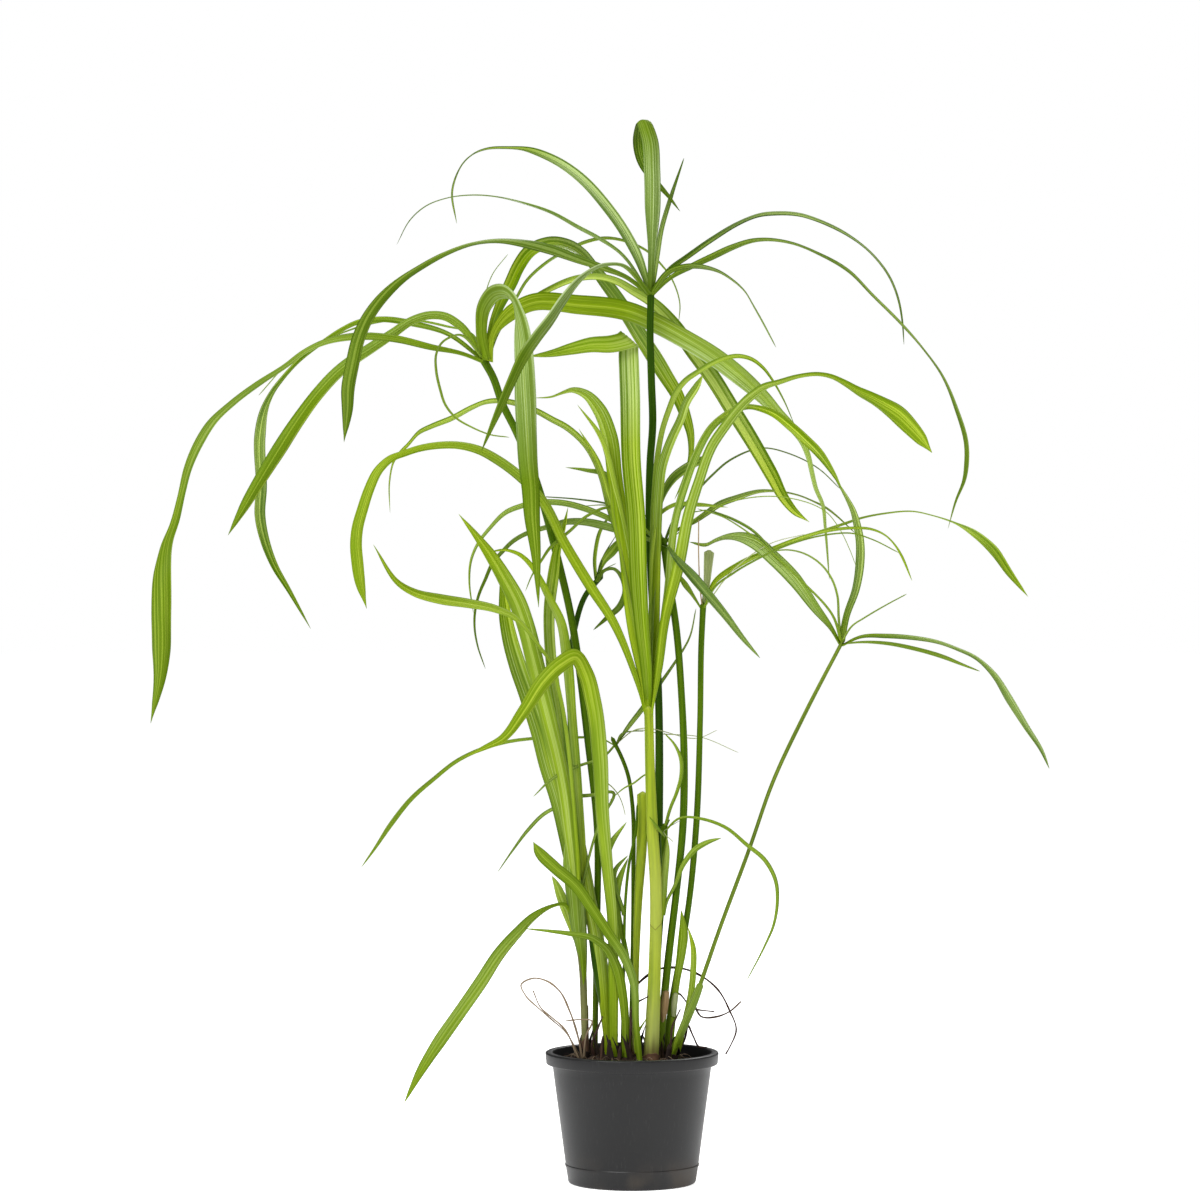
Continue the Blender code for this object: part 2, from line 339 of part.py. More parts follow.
# Thin leaves and short bracts that are one piece with their stem: azimuth and height on the stem's crown,
# route, depths and widths.
TWIGS = {
    "culm_b": [
        ((85, 6), [(-101, 645), (-90, 658), (-79, 676), (-65, 689), (-50, 698), (-35, 705), (-20, 708),
                   (0, 704), (13, 697), (22, 688), (30, 677), (36, 657), (35, 645)],
         {0: -10, 1: 9, 5: 36, 13: 46}, {1: 2, 6: 3, 13: 0.8}),
        ((140, 7), [(-120, 636), (-140, 642), (-160, 646), (-178, 646.5), (-197, 643.5), (-217, 637),
                    (-237, 628), (-257, 615), (-280, 590)],
         {0: -10, 1: 4, 9: 60}, {1: 2, 9: 0.8}),
        ((240, 4), [(-133, 635), (-143, 629), (-147, 620), (-147, 610), (-144, 595), (-140, 583),
                    (-133, 574), (-120, 566), (-108, 561), (-92, 558.5)],
         {0: -10, 1: -32, 10: -42}, {1: 3, 10: 0.8}),
    ],
    "culm_d": [
        ((20, 3), [(172, 405), (191, 404), (212, 400), (233, 394), (248, 388), (261, 383)],
         {0: -30, 1: -26, 6: -14}, {1: 3, 4: 3.5, 6: 0.8}),
        ((130, 6), [(155, 424), (154, 440), (150, 452), (143, 462), (130, 471), (118, 474), (105, 473),
                    (92, 470)],
         {0: -30, 1: -24, 8: -8}, {1: 2, 8: 0.8}),
        ((255, 6), [(151, 424), (126, 452), (108, 469), (100, 477), (90, 485), (80, 492), (70, 498),
                    (49, 505)],
         {0: -30, 1: -42, 8: -36}, {1: 2, 8: 0.8}),
        ((310, 6), [(165, 417), (174, 423), (191, 433), (206, 441)],
         {0: -30, 1: -36, 4: -50}, {1: 1.5, 4: 0.8}),
    ],
    "culm_e": [
        ((315, 5), [(62, 446), (75, 456), (90, 465), (110, 475), (130, 482), (150, 486), (165, 486.5),
                    (180, 482), (200, 472)],
         {0: 8, 1: -4, 3: -26, 9: -38}, {1: 2, 9: 0.8}),
        ((110, 6), [(57, 448), (59, 461), (60, 474)], {0: 8, 1: 12, 3: 16}, {1: 4, 3: 3}),
        ((190, 5), [(45, 441), (40, 448), (34, 457)], {0: 8, 1: 7, 3: 4}, {1: 4, 2: 6, 3: 1}),
    ],
    "culm_f": [
        ((60, 7), [(31, 496), (42, 511), (54, 524), (60, 530), (70, 539), (80, 545), (90, 549),
                   (100, 550.5), (120, 545.5), (140, 535), (156, 520)],
         {0: 2, 1: 12, 11: 60}, {1: 2, 11: 0.8}),
        ((105, 6), [(15, 497), (-4, 504), (-20, 509), (-40, 512), (-66, 514)],
         {0: 2, 1: 26, 5: 50}, {1: 2, 5: 0.8}),
    ],
    "culm_g": [
        ((30, 4), [(-3, 341), (7, 354), (22, 375), (33, 391), (43, 408), (48, 430)],
         {0: 6, 2: 16, 3: 27, 5: 28, 6: 24}, {1: 4, 2: 4, 4: 2, 6: 0.8}),
        ((190, 2), [(-24, 333), (-40, 333.5), (-69, 333), (-94, 330), (-112, 325), (-131, 316), (-149, 302),
                    (-165, 288), (-181, 268), (-193, 250), (-203, 236)],
         {0: 6, 1: 15, 2: 20, 11: 26}, {1: 2, 5: 3, 9: 4, 11: 0.8}),
    ],
    "culm_h": [
        ((340, 4), [(36, 273), (54, 272), (70, 266), (86, 253), (100, 241), (108, 225), (109, 210),
                    (106, 192), (100, 178), (86, 151)],
         {0: 0, 1: -7, 2: -10, 10: -24}, {1: 2.5, 5: 3.5, 10: 0.8}),
        ((300, 6), [(29, 281), (33.5, 292), (37, 306), (36.5, 318), (32, 328), (24, 337)],
         {0: 0, 1: -5, 6: -10}, {1: 2.5, 4: 3, 6: 0.8}),
    ],
    "culm_i": [
        ((100, 6), [(-28, 467), (-27, 476), (-24, 488), (-18, 498), (-14, 504)],
         {0: 14, 1: 19, 5: 24}, {1: 3, 3: 3, 5: 0.8}),
        ((40, 4), [(-21, 466), (-15, 473), (-10, 479), (-1, 486)],
         {0: 14, 1: 18, 4: 24}, {1: 5, 2: 8, 3: 6, 4: 0.8}),
    ],
}

# Old brown stubs on the rhizome (x, y, height, radius), and the roots that loop through the air.
STUBS = [(-23, -19, 17, 1.6), (-18, -20, 14, 2.0), (-10, -19, 9, 1.8), (26, -17, 10, 1.8), (-38, 6, 8, 2.0)]
ROOTS = [
    [(-37, -8, 93), (-41, -9, 112), (-47, -10, 130), (-54, -11, 144), (-64, -12, 152), (-74, -13, 154),
     (-83, -14, 149), (-80, -15, 142), (-70, -15, 132), (-61, -14, 124), (-50, -12, 114), (-41, -6, 99),
     (-38, -2, 93)],
    [(0, 17, 93), (6, 21, 148), (22, 22, 158), (39, 21, 158), (54, 16, 152), (65, 9, 143), (73, 2, 129),
     (78, -4, 114), (74, -8, 104), (70, -10, 97)],
]
STUB_SIDES = 6
STUB_TOP_SHARE = 0.3
STUB_DEPTH = 3.0
ROOT_RADIUS = 0.7
ROOT_SIDES = 4
ROOT_STATIONS = 14


def clear_scene():
    """Removes every object that is in the file."""
    for old in list(bpy.data.objects):
        bpy.data.objects.remove(old, do_unlink=True)


def make_material(name, colour, roughness):
    """A plain Principled material of one colour."""
    material = bpy.data.materials.new(name)
    material.use_nodes = True
    shader = material.node_tree.nodes["Principled BSDF"]
    shader.inputs["Base Color"].default_value = (*colour, 1.0)
    shader.inputs["Roughness"].default_value = roughness
    shader.inputs["Metallic"].default_value = 0.0
    return material


def make_object(name, bm, colour, roughness=0.5, smooth_angle=50.0):
    """Puts a bmesh given in millimetres into the scene as one named object with its own material."""
    bmesh.ops.scale(bm, vec=(MM, MM, MM), verts=bm.verts)
    bmesh.ops.recalc_face_normals(bm, faces=bm.faces)
    mesh = bpy.data.meshes.new(name)
    bm.to_mesh(mesh)
    bm.free()
    mesh.shade_smooth()
    mesh.set_sharp_from_angle(angle=math.radians(smooth_angle))
    thing = bpy.data.objects.new(name, mesh)
    thing.data.materials.append(make_material(name + "_finish", colour, roughness))
    bpy.context.scene.collection.objects.link(thing)
    return thing


def seen_to_world(x, z, depth):
    """The point at a depth along Y that the eye sees at (x, z) on the plane through the pot's axis."""
    on_plane = np.array([x, 0.0, z])
    return EYE + (on_plane - EYE) * (1.0 + depth / -EYE[1])


def through(places, values, where):
    """A smooth curve through points at places (cubic, with slopes from the neighbours), read at where."""
    slopes = np.gradient(values, places, axis=0)
    span = np.clip(np.searchsorted(places, where, side="right") - 1, 0, len(places) - 2)
    width = (places[span + 1] - places[span])[:, None]
    t = np.clip((where - places[span])[:, None] / width, 0.0, 1.0)
    return ((1 + 2 * t) * (1 - t) ** 2 * values[span] + t * (1 - t) ** 2 * width * slopes[span]
            + t * t * (3 - 2 * t) * values[span + 1] + t * t * (t - 1) * width * slopes[span + 1])


def unit(vectors):
    """Vectors of length one."""
    return vectors / np.linalg.norm(vectors, axis=-1, keepdims=True)


class Route:
    """A smooth route through points: close samples of it, and stations that stand closer in the bends."""

    def __init__(self, points, stations):
        points = np.asarray(points, dtype=float)
        steps = np.linalg.norm(np.diff(points, axis=0), axis=1)
        self.knots = np.concatenate(([0.0], np.cumsum(steps)))
        self.where = np.linspace(0.0, self.knots[-1], SAMPLES_PER_SPAN * (len(points) - 1) + 1)
        self.line = through(self.knots, points, self.where)
        self.runs = unit(np.gradient(self.line, axis=0))
        bends = np.linalg.norm(np.diff(self.runs, axis=0), axis=1)
        turning = np.concatenate(([0.0], np.cumsum(bends)))
        measure = self.where / self.where[-1] + BEND_WEIGHT * turning / max(turning[-1], LEAST_TURNING)
        self.stations = np.interp(np.linspace(0.0, measure[-1], stations), measure, self.where)
        self.centres = self.at_stations(self.line)
        self.directions = unit(self.at_stations(self.runs))

    def at_stations(self, samples):
        """Reads numbers or vectors given at the samples at the stations."""
        if samples.ndim == 1:
            return np.interp(self.stations, self.where, samples)
        return np.stack([np.interp(self.stations, self.where, column) for column in samples.T], axis=1)

    def spread(self, table):
        """A table's values, given at some of the route's points, at every sample, straight between."""
        return np.interp(self.where, [self.knots[i] for i in table], list(table.values()))


def blade_sides(route, facing, turns):
    """The direction across a blade at each sample of its route.

    It starts level at the root, facing along the azimuth, and is carried along the route without spin. On
    the way it turns little by little until the eye sees the blade's whole breadth, but for the given turn
    and a slow sway. Where the blade runs along the line of sight, it is only carried."""
    azimuth = math.radians(facing)
    fronts = np.cross(route.runs, unit(route.line - EYE))
    clear = np.linalg.norm(fronts, axis=1)
    fronts /= np.maximum(clear, 1e-6)[:, None]
    wanted = np.radians(route.spread(turns) + SWAY * np.sin(route.where / SWAY_LENGTH + azimuth))
    share = 1.0 - np.exp(-(route.where[1] - route.where[0]) / STEER_LENGTH)
    side = np.array([-math.sin(azimuth), math.cos(azimuth), 0.0])
    sides = np.empty_like(route.runs)
    for index, run in enumerate(route.runs):
        side = unit(side - np.dot(side, run) * run)
        front = fronts[index]
        aim = math.cos(wanted[index]) * front + math.sin(wanted[index]) * np.cross(run, front)
        if np.dot(aim, side) < 0.0:
            aim = -aim
        off = math.atan2(np.dot(np.cross(side, aim), run), np.dot(side, aim)) * share * clear[index] ** 2
        side = math.cos(off) * side + math.sin(off) * np.cross(run, side)
        sides[index] = side
    return sides


def loft(bm, rings):
    """Joins closed rings of points with quads, and closes both ends."""
    rows = [[bm.verts.new(Vector(point)) for point in ring] for ring in rings]
    count = len(rows[0])
    for low, high in zip(rows, rows[1:]):
        for i in range(count):
            j = (i + 1) % count
            bm.faces.new((low[i], low[j], high[j], high[i]))
    bm.faces.new(list(reversed(rows[0])))
    bm.faces.new(rows[-1])


def loft_kites(bm, rings):
    """Joins kite sections with triangles, and closes both ends. The upper and the under side fold along the
    same lines, from the midrib out to the edge, so a thin leaf can twist without its sides crossing."""
    rows = [[bm.verts.new(Vector(point)) for point in ring] for ring in rings]
    for low, high in zip(rows, rows[1:]):
        for edge, rib in ((0, 1), (2, 3)):
            after = (rib + 1) % 4
            bm.faces.new((low[edge], low[rib], high[edge]))
            bm.faces.new((low[rib], high[rib], high[edge]))
            bm.faces.new((low[rib], low[after], high[after]))
            bm.faces.new((low[rib], high[after], high[rib]))
    bm.faces.new(list(reversed(rows[0])))
    bm.faces.new(rows[-1])


def loft_leaf(bm, points, facing, widths, turns, stations):
    """A leaf along a route: a flat kite section with a shallow keel, as broad as the widths say."""
    route = Route(points, stations)
    run = route.directions
    across = route.at_stations(blade_sides(route, facing, turns))
    across = unit(across - np.sum(across * run, axis=1)[:, None] * run)
    up = np.cross(run, across)
    half = route.at_stations(route.spread(widths))[:, None] / 2
    keel = 2 * LEAF_KEEL * half * up
    thin = np.minimum(LEAF_THICKNESS / 2, half)
    centre = route.centres
    rings = np.stack([centre + half * across, centre + thin * up - keel, centre - half * across,
                      centre - thin * up - keel], axis=1)
    loft_kites(bm, rings)


def crown_root(crown, azimuth, height, gap):
    """A place on a crown's side, at an azimuth about Z and a height above its node."""
    (x, depth, z), radius = CROWNS[crown]
    angle = math.radians(azimuth)
    reach = radius + gap
    return seen_to_world(x, z, depth) + np.array([reach * math.cos(angle), reach * math.sin(angle), height])


def read_depths(depths, first, count):
    """The depth of each point of a route, read between the points whose depth is given."""
    return np.interp(np.arange(first, first + count), list(depths), list(depths.values()))


def route_points(seen, depths):
    """World points for places as seen, at their depths."""
    return [seen_to_world(x, z, y) for (x, z), y in zip(seen, read_depths(depths, 0, len(seen)))]


def crown_route(crown, root, seen, depths, gap):
    """World points of a leaf that grows from a crown: its root, and then its places as seen. The further
    the leaf hangs out to the side, the more it also spreads in front of the crown or behind it."""
    azimuth, height = root
    crown_x, crown_depth, _ = CROWNS[crown][0]
    points = [crown_root(crown, azimuth, height, gap)]
    for (x, z), depth in zip(seen, read_depths(depths, 1, len(seen))):
        spread = 1.0 + abs(x - crown_x) / SPREAD_REACH
        points.append(seen_to_world(x, z, crown_depth + spread * (depth - crown_depth)))
    return points


def build_leaf(name, crown, root, seen, depths, widths, colour):
    """One leaf as its own piece, from its crown or from the ground."""
    bm = bmesh.new()
    if crown:
        azimuth = root[0]
        points = crown_route(crown, root, seen, depths, TOUCH_GAP + LEAF_THICKNESS)
        widths = {0: LEAF_ROOT_WIDTH, **widths}
    else:
        azimuth = root
        points = route_points(seen, depths)
        points[0][2] = LEAF_BASE_Z
    loft_leaf(bm, points, azimuth, widths, TURNS.get(name, NO_TURN), LEAF_STATIONS)
    return make_object(name, bm, colour)


def ring_around(centre, run, radius, sides):
    """A ring of points about a centre, square to the run."""
    across = np.array([1.0, 0.0, 0.0])
    across = unit(across - np.dot(across, run) * run)
    other = np.cross(run, across)
    angles = np.linspace(0.0, 2 * math.pi, sides, endpoint=False)[:, None]
    return centre + radius * (np.cos(angles) * across + np.sin(angles) * other)


def loft_stem(bm, points, radii, crown_radius):
    """A round stem that stands level on the ground, with a short swollen crown at its top."""
    route = Route(points, STEM_STATIONS)
    run = route.directions
    run[0] = UPWARD
    if crown_radius:
        run[-1] = UPWARD
    rings = [ring_around(*station, STEM_SIDES)
             for station in zip(route.centres, run, route.at_stations(route.spread(radii)))]
    if crown_radius:
        for height, share in CROWN_STEPS:
            rings.append(ring_around(route.centres[-1] + height * UPWARD, UPWARD, share * crown_radius,
                                     STEM_SIDES))
    loft(bm, rings)


def unite(base, bm_parts):
    """Unites closed parts with the base object's mesh, one after another, and removes them."""
    for bm in bm_parts:
        bmesh.ops.scale(bm, vec=(MM, MM, MM), verts=bm.verts)
        bmesh.ops.recalc_face_normals(bm, faces=bm.faces)
        mesh = bpy.data.meshes.new("part")
        bm.to_mesh(mesh)
        bm.free()
        part = bpy.data.objects.new("part", mesh)
        bpy.context.scene.collection.objects.link(part)
        joiner = base.modifiers.new("join", "BOOLEAN")
        joiner.operation = "UNION"
        joiner.solver = "EXACT"
        joiner.object = part
        depsgraph = bpy.context.evaluated_depsgraph_get()
        joined = bpy.data.meshes.new_from_object(base.evaluated_get(depsgraph))
        base.modifiers.clear()
        base.data = joined
        bpy.data.objects.remove(part, do_unlink=True)


def build_stem(name, crown, seen, depths, radii, colour):
    """One stem with its crown, and the thin leaves that are one piece with it."""
    points = route_points(seen, depths)
    points[0][2] = STEM_BASE_Z
    bm = bmesh.new()
    loft_stem(bm, points, radii, CROWNS[crown][1] if crown else None)
    stem = make_object(name, bm, colour)
    twigs = []
    for root, twig_seen, twig_depths, widths in TWIGS.get(name, []):
        route = crown_route(crown, root, twig_seen, twig_depths, -TWIG_ROOT_DEPTH)
        twig = bmesh.new()
        loft_leaf(twig, route, root[0], {0: LEAF_ROOT_WIDTH, **widths}, NO_TURN, TWIG_STATIONS)
        twigs.append(twig)
    unite(stem, twigs)
    return stem


def spin_profile(bm, profile, sides):
    """Turns a closed profile of (radius, z) pairs about Z."""
    rows = []
    for step in range(sides):
        angle = 2 * math.pi * step / sides
        rows.append([bm.verts.new((r * math.cos(angle), r * math.sin(angle), z)) for r, z in profile])
    count = len(profile)
    for step in range(sides):
        here, there = rows[step], rows[(step + 1) % sides]
        for i in range(count - 1):
            bm.faces.new((here[i], there[i], there[i + 1], here[i + 1]))
    return rows


def pot_radius(z):
    """The outer radius of the pot's tapered wall at a height."""
    return POT_BASE_RADIUS + (POT_TOP_RADIUS - POT_BASE_RADIUS) * z / POT_HEIGHT


def build_pot():
    """A thin tapered pot with a turned-out rim and drain holes round its floor."""
    inner_top = pot_radius(POT_HEIGHT) - POT_WALL
    rim_z = POT_HEIGHT - POT_RIM_DROP
    profile = [(POT_BASE_RADIUS - POT_FOOT_EDGE, 0.0), (POT_BASE_RADIUS, POT_FOOT_EDGE),
               (pot_radius(rim_z), rim_z), (POT_RIM_RADIUS - RIM_SLOPE, rim_z),
               (POT_RIM_RADIUS, POT_HEIGHT - RIM_EDGE), (POT_RIM_RADIUS - RIM_EDGE, POT_HEIGHT),
               (inner_top + RIM_EDGE / 2, POT_HEIGHT), (inner_top, POT_HEIGHT - RIM_EDGE),
               (pot_radius(POT_WALL) - POT_WALL, POT_WALL)]
    bm = bmesh.new()
    rows = spin_profile(bm, profile, POT_SIDES)
    bm.faces.new([row[0] for row in reversed(rows)])
    bm.faces.new([row[-1] for row in rows])
    pot = make_object("pot", bm, POT_BLACK, 0.45)
    for hole in range(DRAIN_HOLES):
        angle = 2 * math.pi * (hole + 0.5) / DRAIN_HOLES
        cutter_mesh = bmesh.new()
        place = Vector((DRAIN_HOLE_RING * math.cos(angle), DRAIN_HOLE_RING * math.sin(angle), POT_WALL / 2))
        bmesh.ops.create_cone(cutter_mesh, cap_ends=True, segments=DRAIN_HOLE_SIDES,
                              radius1=DRAIN_HOLE_RADIUS, radius2=DRAIN_HOLE_RADIUS, depth=3 * POT_WALL)
        bmesh.ops.translate(cutter_mesh, verts=cutter_mesh.verts, vec=place)
        cutter = make_object("drain_cutter_%d" % hole, cutter_mesh, POT_BLACK)
        cutter.hide_render = True
        cutter.display_type = "WIRE"
        cut = pot.modifiers.new("drain_%d" % hole, "BOOLEAN")
        cut.operation = "DIFFERENCE"
        cut.solver = "EXACT"
        cut.object = cutter
    return pot


def build_soil():
    """The potting mix: it fills the pot and rises a little towards the middle, with a flat top."""
    floor_z = POT_WALL + TOUCH_GAP
    clearance = POT_WALL + 2 * TOUCH_GAP
    profile = [(pot_radius(floor_z) - clearance, floor_z),
               (pot_radius(SOIL_EDGE_Z) - clearance, SOIL_EDGE_Z),
               (SOIL_FLAT_RADIUS, SOIL_TOP_Z)]
    bm = bmesh.new()
    rows = spin_profile(bm, profile, POT_SIDES)
    bm.faces.new([row[0] for row in reversed(rows)])
    bm.faces.new([row[-1] for row in rows])
    return make_object("soil", bm, SOIL_BROWN, 0.95)


def mound_ring(z, share):
    """A level ring of the rhizome's mound: an oval that waves in and out by a few hundredths."""
    angles = np.linspace(0.0, 2 * math.pi, RHIZOME_SIDES, endpoint=False)
    reach = share * (1.0 + 0.04 * np.sin(5 * angles) + 0.03 * np.cos(3 * angles))
    return np.stack([RHIZOME_CENTRE[0] + RHIZOME_HALF_SIZE[0] * reach * np.cos(angles),
                     RHIZOME_CENTRE[1] + RHIZOME_HALF_SIZE[1] * reach * np.sin(angles),
                     np.full(RHIZOME_SIDES, z)], axis=1)


def build_rhizome():
    """The dark crown of rhizome that the stems stand on, with old stubs and looping roots."""
    bm = bmesh.new()
    loft(bm, [mound_ring(SOIL_TOP_Z + TOUCH_GAP, 1.0), mound_ring(RHIZOME_SHOULDER_Z, 1.03),
              mound_ring(RHIZOME_TOP_Z, 0.94)])
    rhizome = make_object("rhizome", bm, RHIZOME_BROWN, 0.85)
    parts = []
    for x, y, height, radius in STUBS:
        stub = bmesh.new()
        bmesh.ops.create_cone(stub, cap_ends=True, segments=STUB_SIDES, radius1=radius,
                              radius2=STUB_TOP_SHARE * radius, depth=height + STUB_DEPTH)
        bmesh.ops.translate(stub, verts=stub.verts, vec=(x, y, RHIZOME_TOP_Z + (height - STUB_DEPTH) / 2))
        parts.append(stub)
    for points in ROOTS:
        route = Route(points, ROOT_STATIONS)
        root = bmesh.new()
        loft(root, [ring_around(centre, run, ROOT_RADIUS, ROOT_SIDES)
                    for centre, run in zip(route.centres, route.directions)])
        parts.append(root)
    unite(rhizome, parts)
    return rhizome


def build():
    """Builds every piece of the plant and its pot."""
    clear_scene()
    build_pot()
    build_soil()
    build_rhizome()
    for name, (crown, seen, depths, radii, colour) in STEMS.items():
        build_stem(name, crown, seen, depths, radii, colour)
    for name, (crown, root, seen, depths, widths, colour) in LEAVES.items():
        build_leaf(name, crown, root, seen, depths, widths, colour)


build()
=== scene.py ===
"""The looks of a potted umbrella sedge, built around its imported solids.

Each leaf and stem follows its solid's route, but for leaf C1 near its crease: places (x, z) as seen from the
front, with the depth along Y at some of them. Routes are in millimetres, meshes in metres. The front is -Y.
"""
import math

import bmesh
import bpy
import numpy as np
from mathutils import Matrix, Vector


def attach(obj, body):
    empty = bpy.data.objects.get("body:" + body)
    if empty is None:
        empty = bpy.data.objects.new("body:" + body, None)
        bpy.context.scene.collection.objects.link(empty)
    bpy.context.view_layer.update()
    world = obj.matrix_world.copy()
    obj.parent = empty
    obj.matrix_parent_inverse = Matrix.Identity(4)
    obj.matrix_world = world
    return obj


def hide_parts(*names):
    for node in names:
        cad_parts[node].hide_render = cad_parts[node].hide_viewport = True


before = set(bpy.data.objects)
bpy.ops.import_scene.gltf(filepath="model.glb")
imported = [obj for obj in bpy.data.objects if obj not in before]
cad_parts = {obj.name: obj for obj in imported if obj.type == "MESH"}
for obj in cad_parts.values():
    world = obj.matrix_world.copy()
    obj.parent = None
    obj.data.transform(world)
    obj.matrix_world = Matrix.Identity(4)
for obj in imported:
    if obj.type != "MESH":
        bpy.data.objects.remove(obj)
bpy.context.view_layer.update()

MM = 0.001

# The eye that the routes are drawn from: level with the middle of the plant, 3 m in front of it.
EYE = np.array([-24.0, -3000.0, 436.5])
LENS = 120.0
SENSOR = 36.0
CLIP_END = 100.0

# Pot, soil and rhizome, as in the solids.
POT_HEIGHT = 98.0
POT_RIM_RADIUS = 65.0
POT_TOP_RADIUS = 61.0
POT_BASE_RADIUS = 48.0
POT_WALL = 1.6
POT_RIM_DROP = 9.0
DRAIN_HOLES = 6
DRAIN_HOLE_RADIUS = 4.0
DRAIN_HOLE_RING = 33.0
SOIL_EDGE_Z = 88.0
SOIL_TOP_Z = 90.0
RHIZOME_TOP_Z = 95.0
RHIZOME_CENTRE = (-5.0, 0.0)
RHIZOME_HALF_SIZE = (40.0, 27.0)
STEM_BASE_Z = 92.0

# Detail of the pot that only the looks have: an underside raised inside a rounded foot ring, a low bead round
# the wall, and a rim with a small step, a rounded lip and rounded edges.
POT_SIDES = 144
ARC_POINTS = 6
AXIS_GAP = 0.5
UNDERSIDE_Z = 1.2
FOOT_BREADTH = 7.0
FOOT_SLOPE = 0.8
FOOT_CURVE = 2.0
BEAD_LOW_Z = 12.0
BEAD_HIGH_Z = 14.6
BEAD_HEIGHT = 0.5
BEAD_SLOPE = 0.6
RIM_STEP_DROP = 1.0
RIM_STEP_OUT = 0.4
LIP_CURVE = 0.9
LIP_SET_IN = 0.6
RIM_OUTER_CURVE = 1.4
RIM_INNER_CURVE = 1.2
INNER_FLOOR_Z = 2.6
INNER_FLOOR_SET_IN = 1.0
OUTER_WALL_Z = np.linspace(30.0, 83.0, 5)
INNER_WALL_Z = np.linspace(80.0, 8.0, 4)
HOLE_SIDES = 24
HOLE_CUTTER_DEPTH = 9.0
SHARP_ANGLE = 35.0

# The soil: points round it and rings out to the wall, the first ring's share of the radius and the power by
# which they spread, gaps to the pot at the top, down the wall and at the floor, heights of the floor and of
# the rings down the wall, and how far the top sinks under its lumps.
SOIL_AROUND = 180
SOIL_RINGS = 80
FIRST_RING = 0.004
SOIL_SPREAD = 0.8
SOIL_TOP_GAP = 0.2
SOIL_WALL_GAP = 0.3
SOIL_FLOOR_GAP = 0.8
SOIL_FLOOR_Z = 3.2
SOIL_WALL_Z = (84.0, 60.0, 30.0)
SOIL_SINK = 0.6

# Lumps of the soil and of the rhizome: seed, longest wave and octaves. Then their height, and the waves of an
# octave.
SOIL_LUMPS = (5, 22.0, 5)
RHIZOME_LUMPS = (3, 13.0, 4)
LUMP_HEIGHT = 0.9
WAVES = 5

# Crumbs on the soil: how many, rings and points of each, gap to the wall, size, length, breadth and height as
# shares of it, how uneven and how tilted they are, and how far they sink in.
CRUMBS = 900
CRUMB_SEED = 11
CRUMB_RINGS = 5
CRUMB_AROUND = 6
CRUMB_GAP = 3.0
CRUMB_SIZE = (0.35, 1.1)
CRUMB_LENGTH = (1.0, 3.0)
CRUMB_BREADTH = (0.6, 1.1)
CRUMB_HEIGHT = (0.4, 0.9)
CRUMB_UNEVEN = 0.22
CRUMB_TILT = 0.5
CRUMB_SINK = 0.5

# The rhizome's mound: points round it and rings, how far its edge and its foot lie below the soil's top, and
# how much more its dome rises than the rhizome's top stands above the soil.
MOUND_AROUND = 160
MOUND_RINGS = 44
MOUND_EDGE_DROP = 1.0
MOUND_FOOT_DROP = 2.5
MOUND_RISE = 1.6

# Sheaths and scraps at the stems' feet: the seed, the scraps' least and greatest height and breadth and
# their lean. Then points round a sleeve and its rows, half its wall, the gap to the stem and between layers,
# the lowest part of its edge as a share of its height, and how far it flares.
SHEATH_SEED = 21
SCRAP_HEIGHT = (7.0, 24.0)
SCRAP_BREADTH = (2.0, 4.5)
SCRAP_LEAN = 0.35
SLEEVE_AROUND = 28
SLEEVE_ROWS = 14
SLEEVE_HALF_WALL = 0.12
SLEEVE_LAYER = 0.3
SLEEVE_LOW = 0.35
SLEEVE_FLARE = (0.2, 0.9)

# Roots in the air: the seed, where the pale ones end, their radius and tint, the others' radius, and how much
# they narrow.
ROOT_SEED = 8
PALE_ROOTS_X = -30.0
PALE_ROOT_RADIUS = 0.85
PALE_ROOT_TINT = 0.7
AIR_ROOT_RADIUS = 1.15
ROOT_TAPER = 0.5

# Short fine roots over the mound's edge: how many, the shares of the way to that edge where they start, their
# length, turn, sway, rise and radius, how much they narrow, and how far their tips dip.
FINE_ROOTS = 150
FINE_ROOT_SHARE = (0.55, 1.02)
FINE_ROOT_LENGTH = (5.0, 15.0)
FINE_ROOT_TURN = 1.1
FINE_ROOT_SWAY = 0.3
FINE_ROOT_RISE = (0.5, 4.5)
FINE_ROOT_RADIUS = (0.14, 0.34)
FINE_ROOT_TAPER = 0.6
FINE_ROOT_DIP = 2.5

# Leaves and stems.
LEAF_THICKNESS = 0.5
LEAF_KEEL = 0.16
LEAF_SIDE_POINTS = 10
THIN_SIDE_POINTS = 6
STATION_STEP = 2.4
FEWEST_STATIONS = 24
SAMPLES_PER_SPAN = 12

# A blade: its least width, the share of its length in which its tip narrows and what is left there, its
# thickness as a share of a small width, and the shape of the fold from edge to midrib.
LEAST_WIDTH = 0.3
TIP_SHARE = 0.03
TIP_WIDTH = 0.25
THICK_SHARE = 0.3
FOLD_POWER = 0.85
FOLD_SHOULDER = 0.18

# The fold is deeper over this length from the root, by this much more where the root clasps a stem.
ROOT_LENGTH = 28.0
CLASP_FOLD = 4.0

# The ripple of a blade's edges: its least and greatest length, its height as a share of the width, how far
# it runs slanting across the blade, and the greatest of the random phases.
RIPPLE_LENGTH = (55.0, 90.0)
RIPPLE_HEIGHT = 0.028
RIPPLE_SLANT = 1.3
PHASE = 6.3

# Stems: points round them, depth and number of their flutes, how much and over what length they swell and
# thin, the length in which the end is rounded off, and the least that is left there.
STEM_AROUND = 24
STEM_FLUTE = 0.035
FLUTES = 3
STEM_WAVE = 0.03
STEM_WAVE_LENGTH = 23.0
STEM_END = 2.5
STEM_END_LEAST = 0.02

# The UV pairs run along blades, stems and roots in decimetres.
DECIMETRE = 100.0

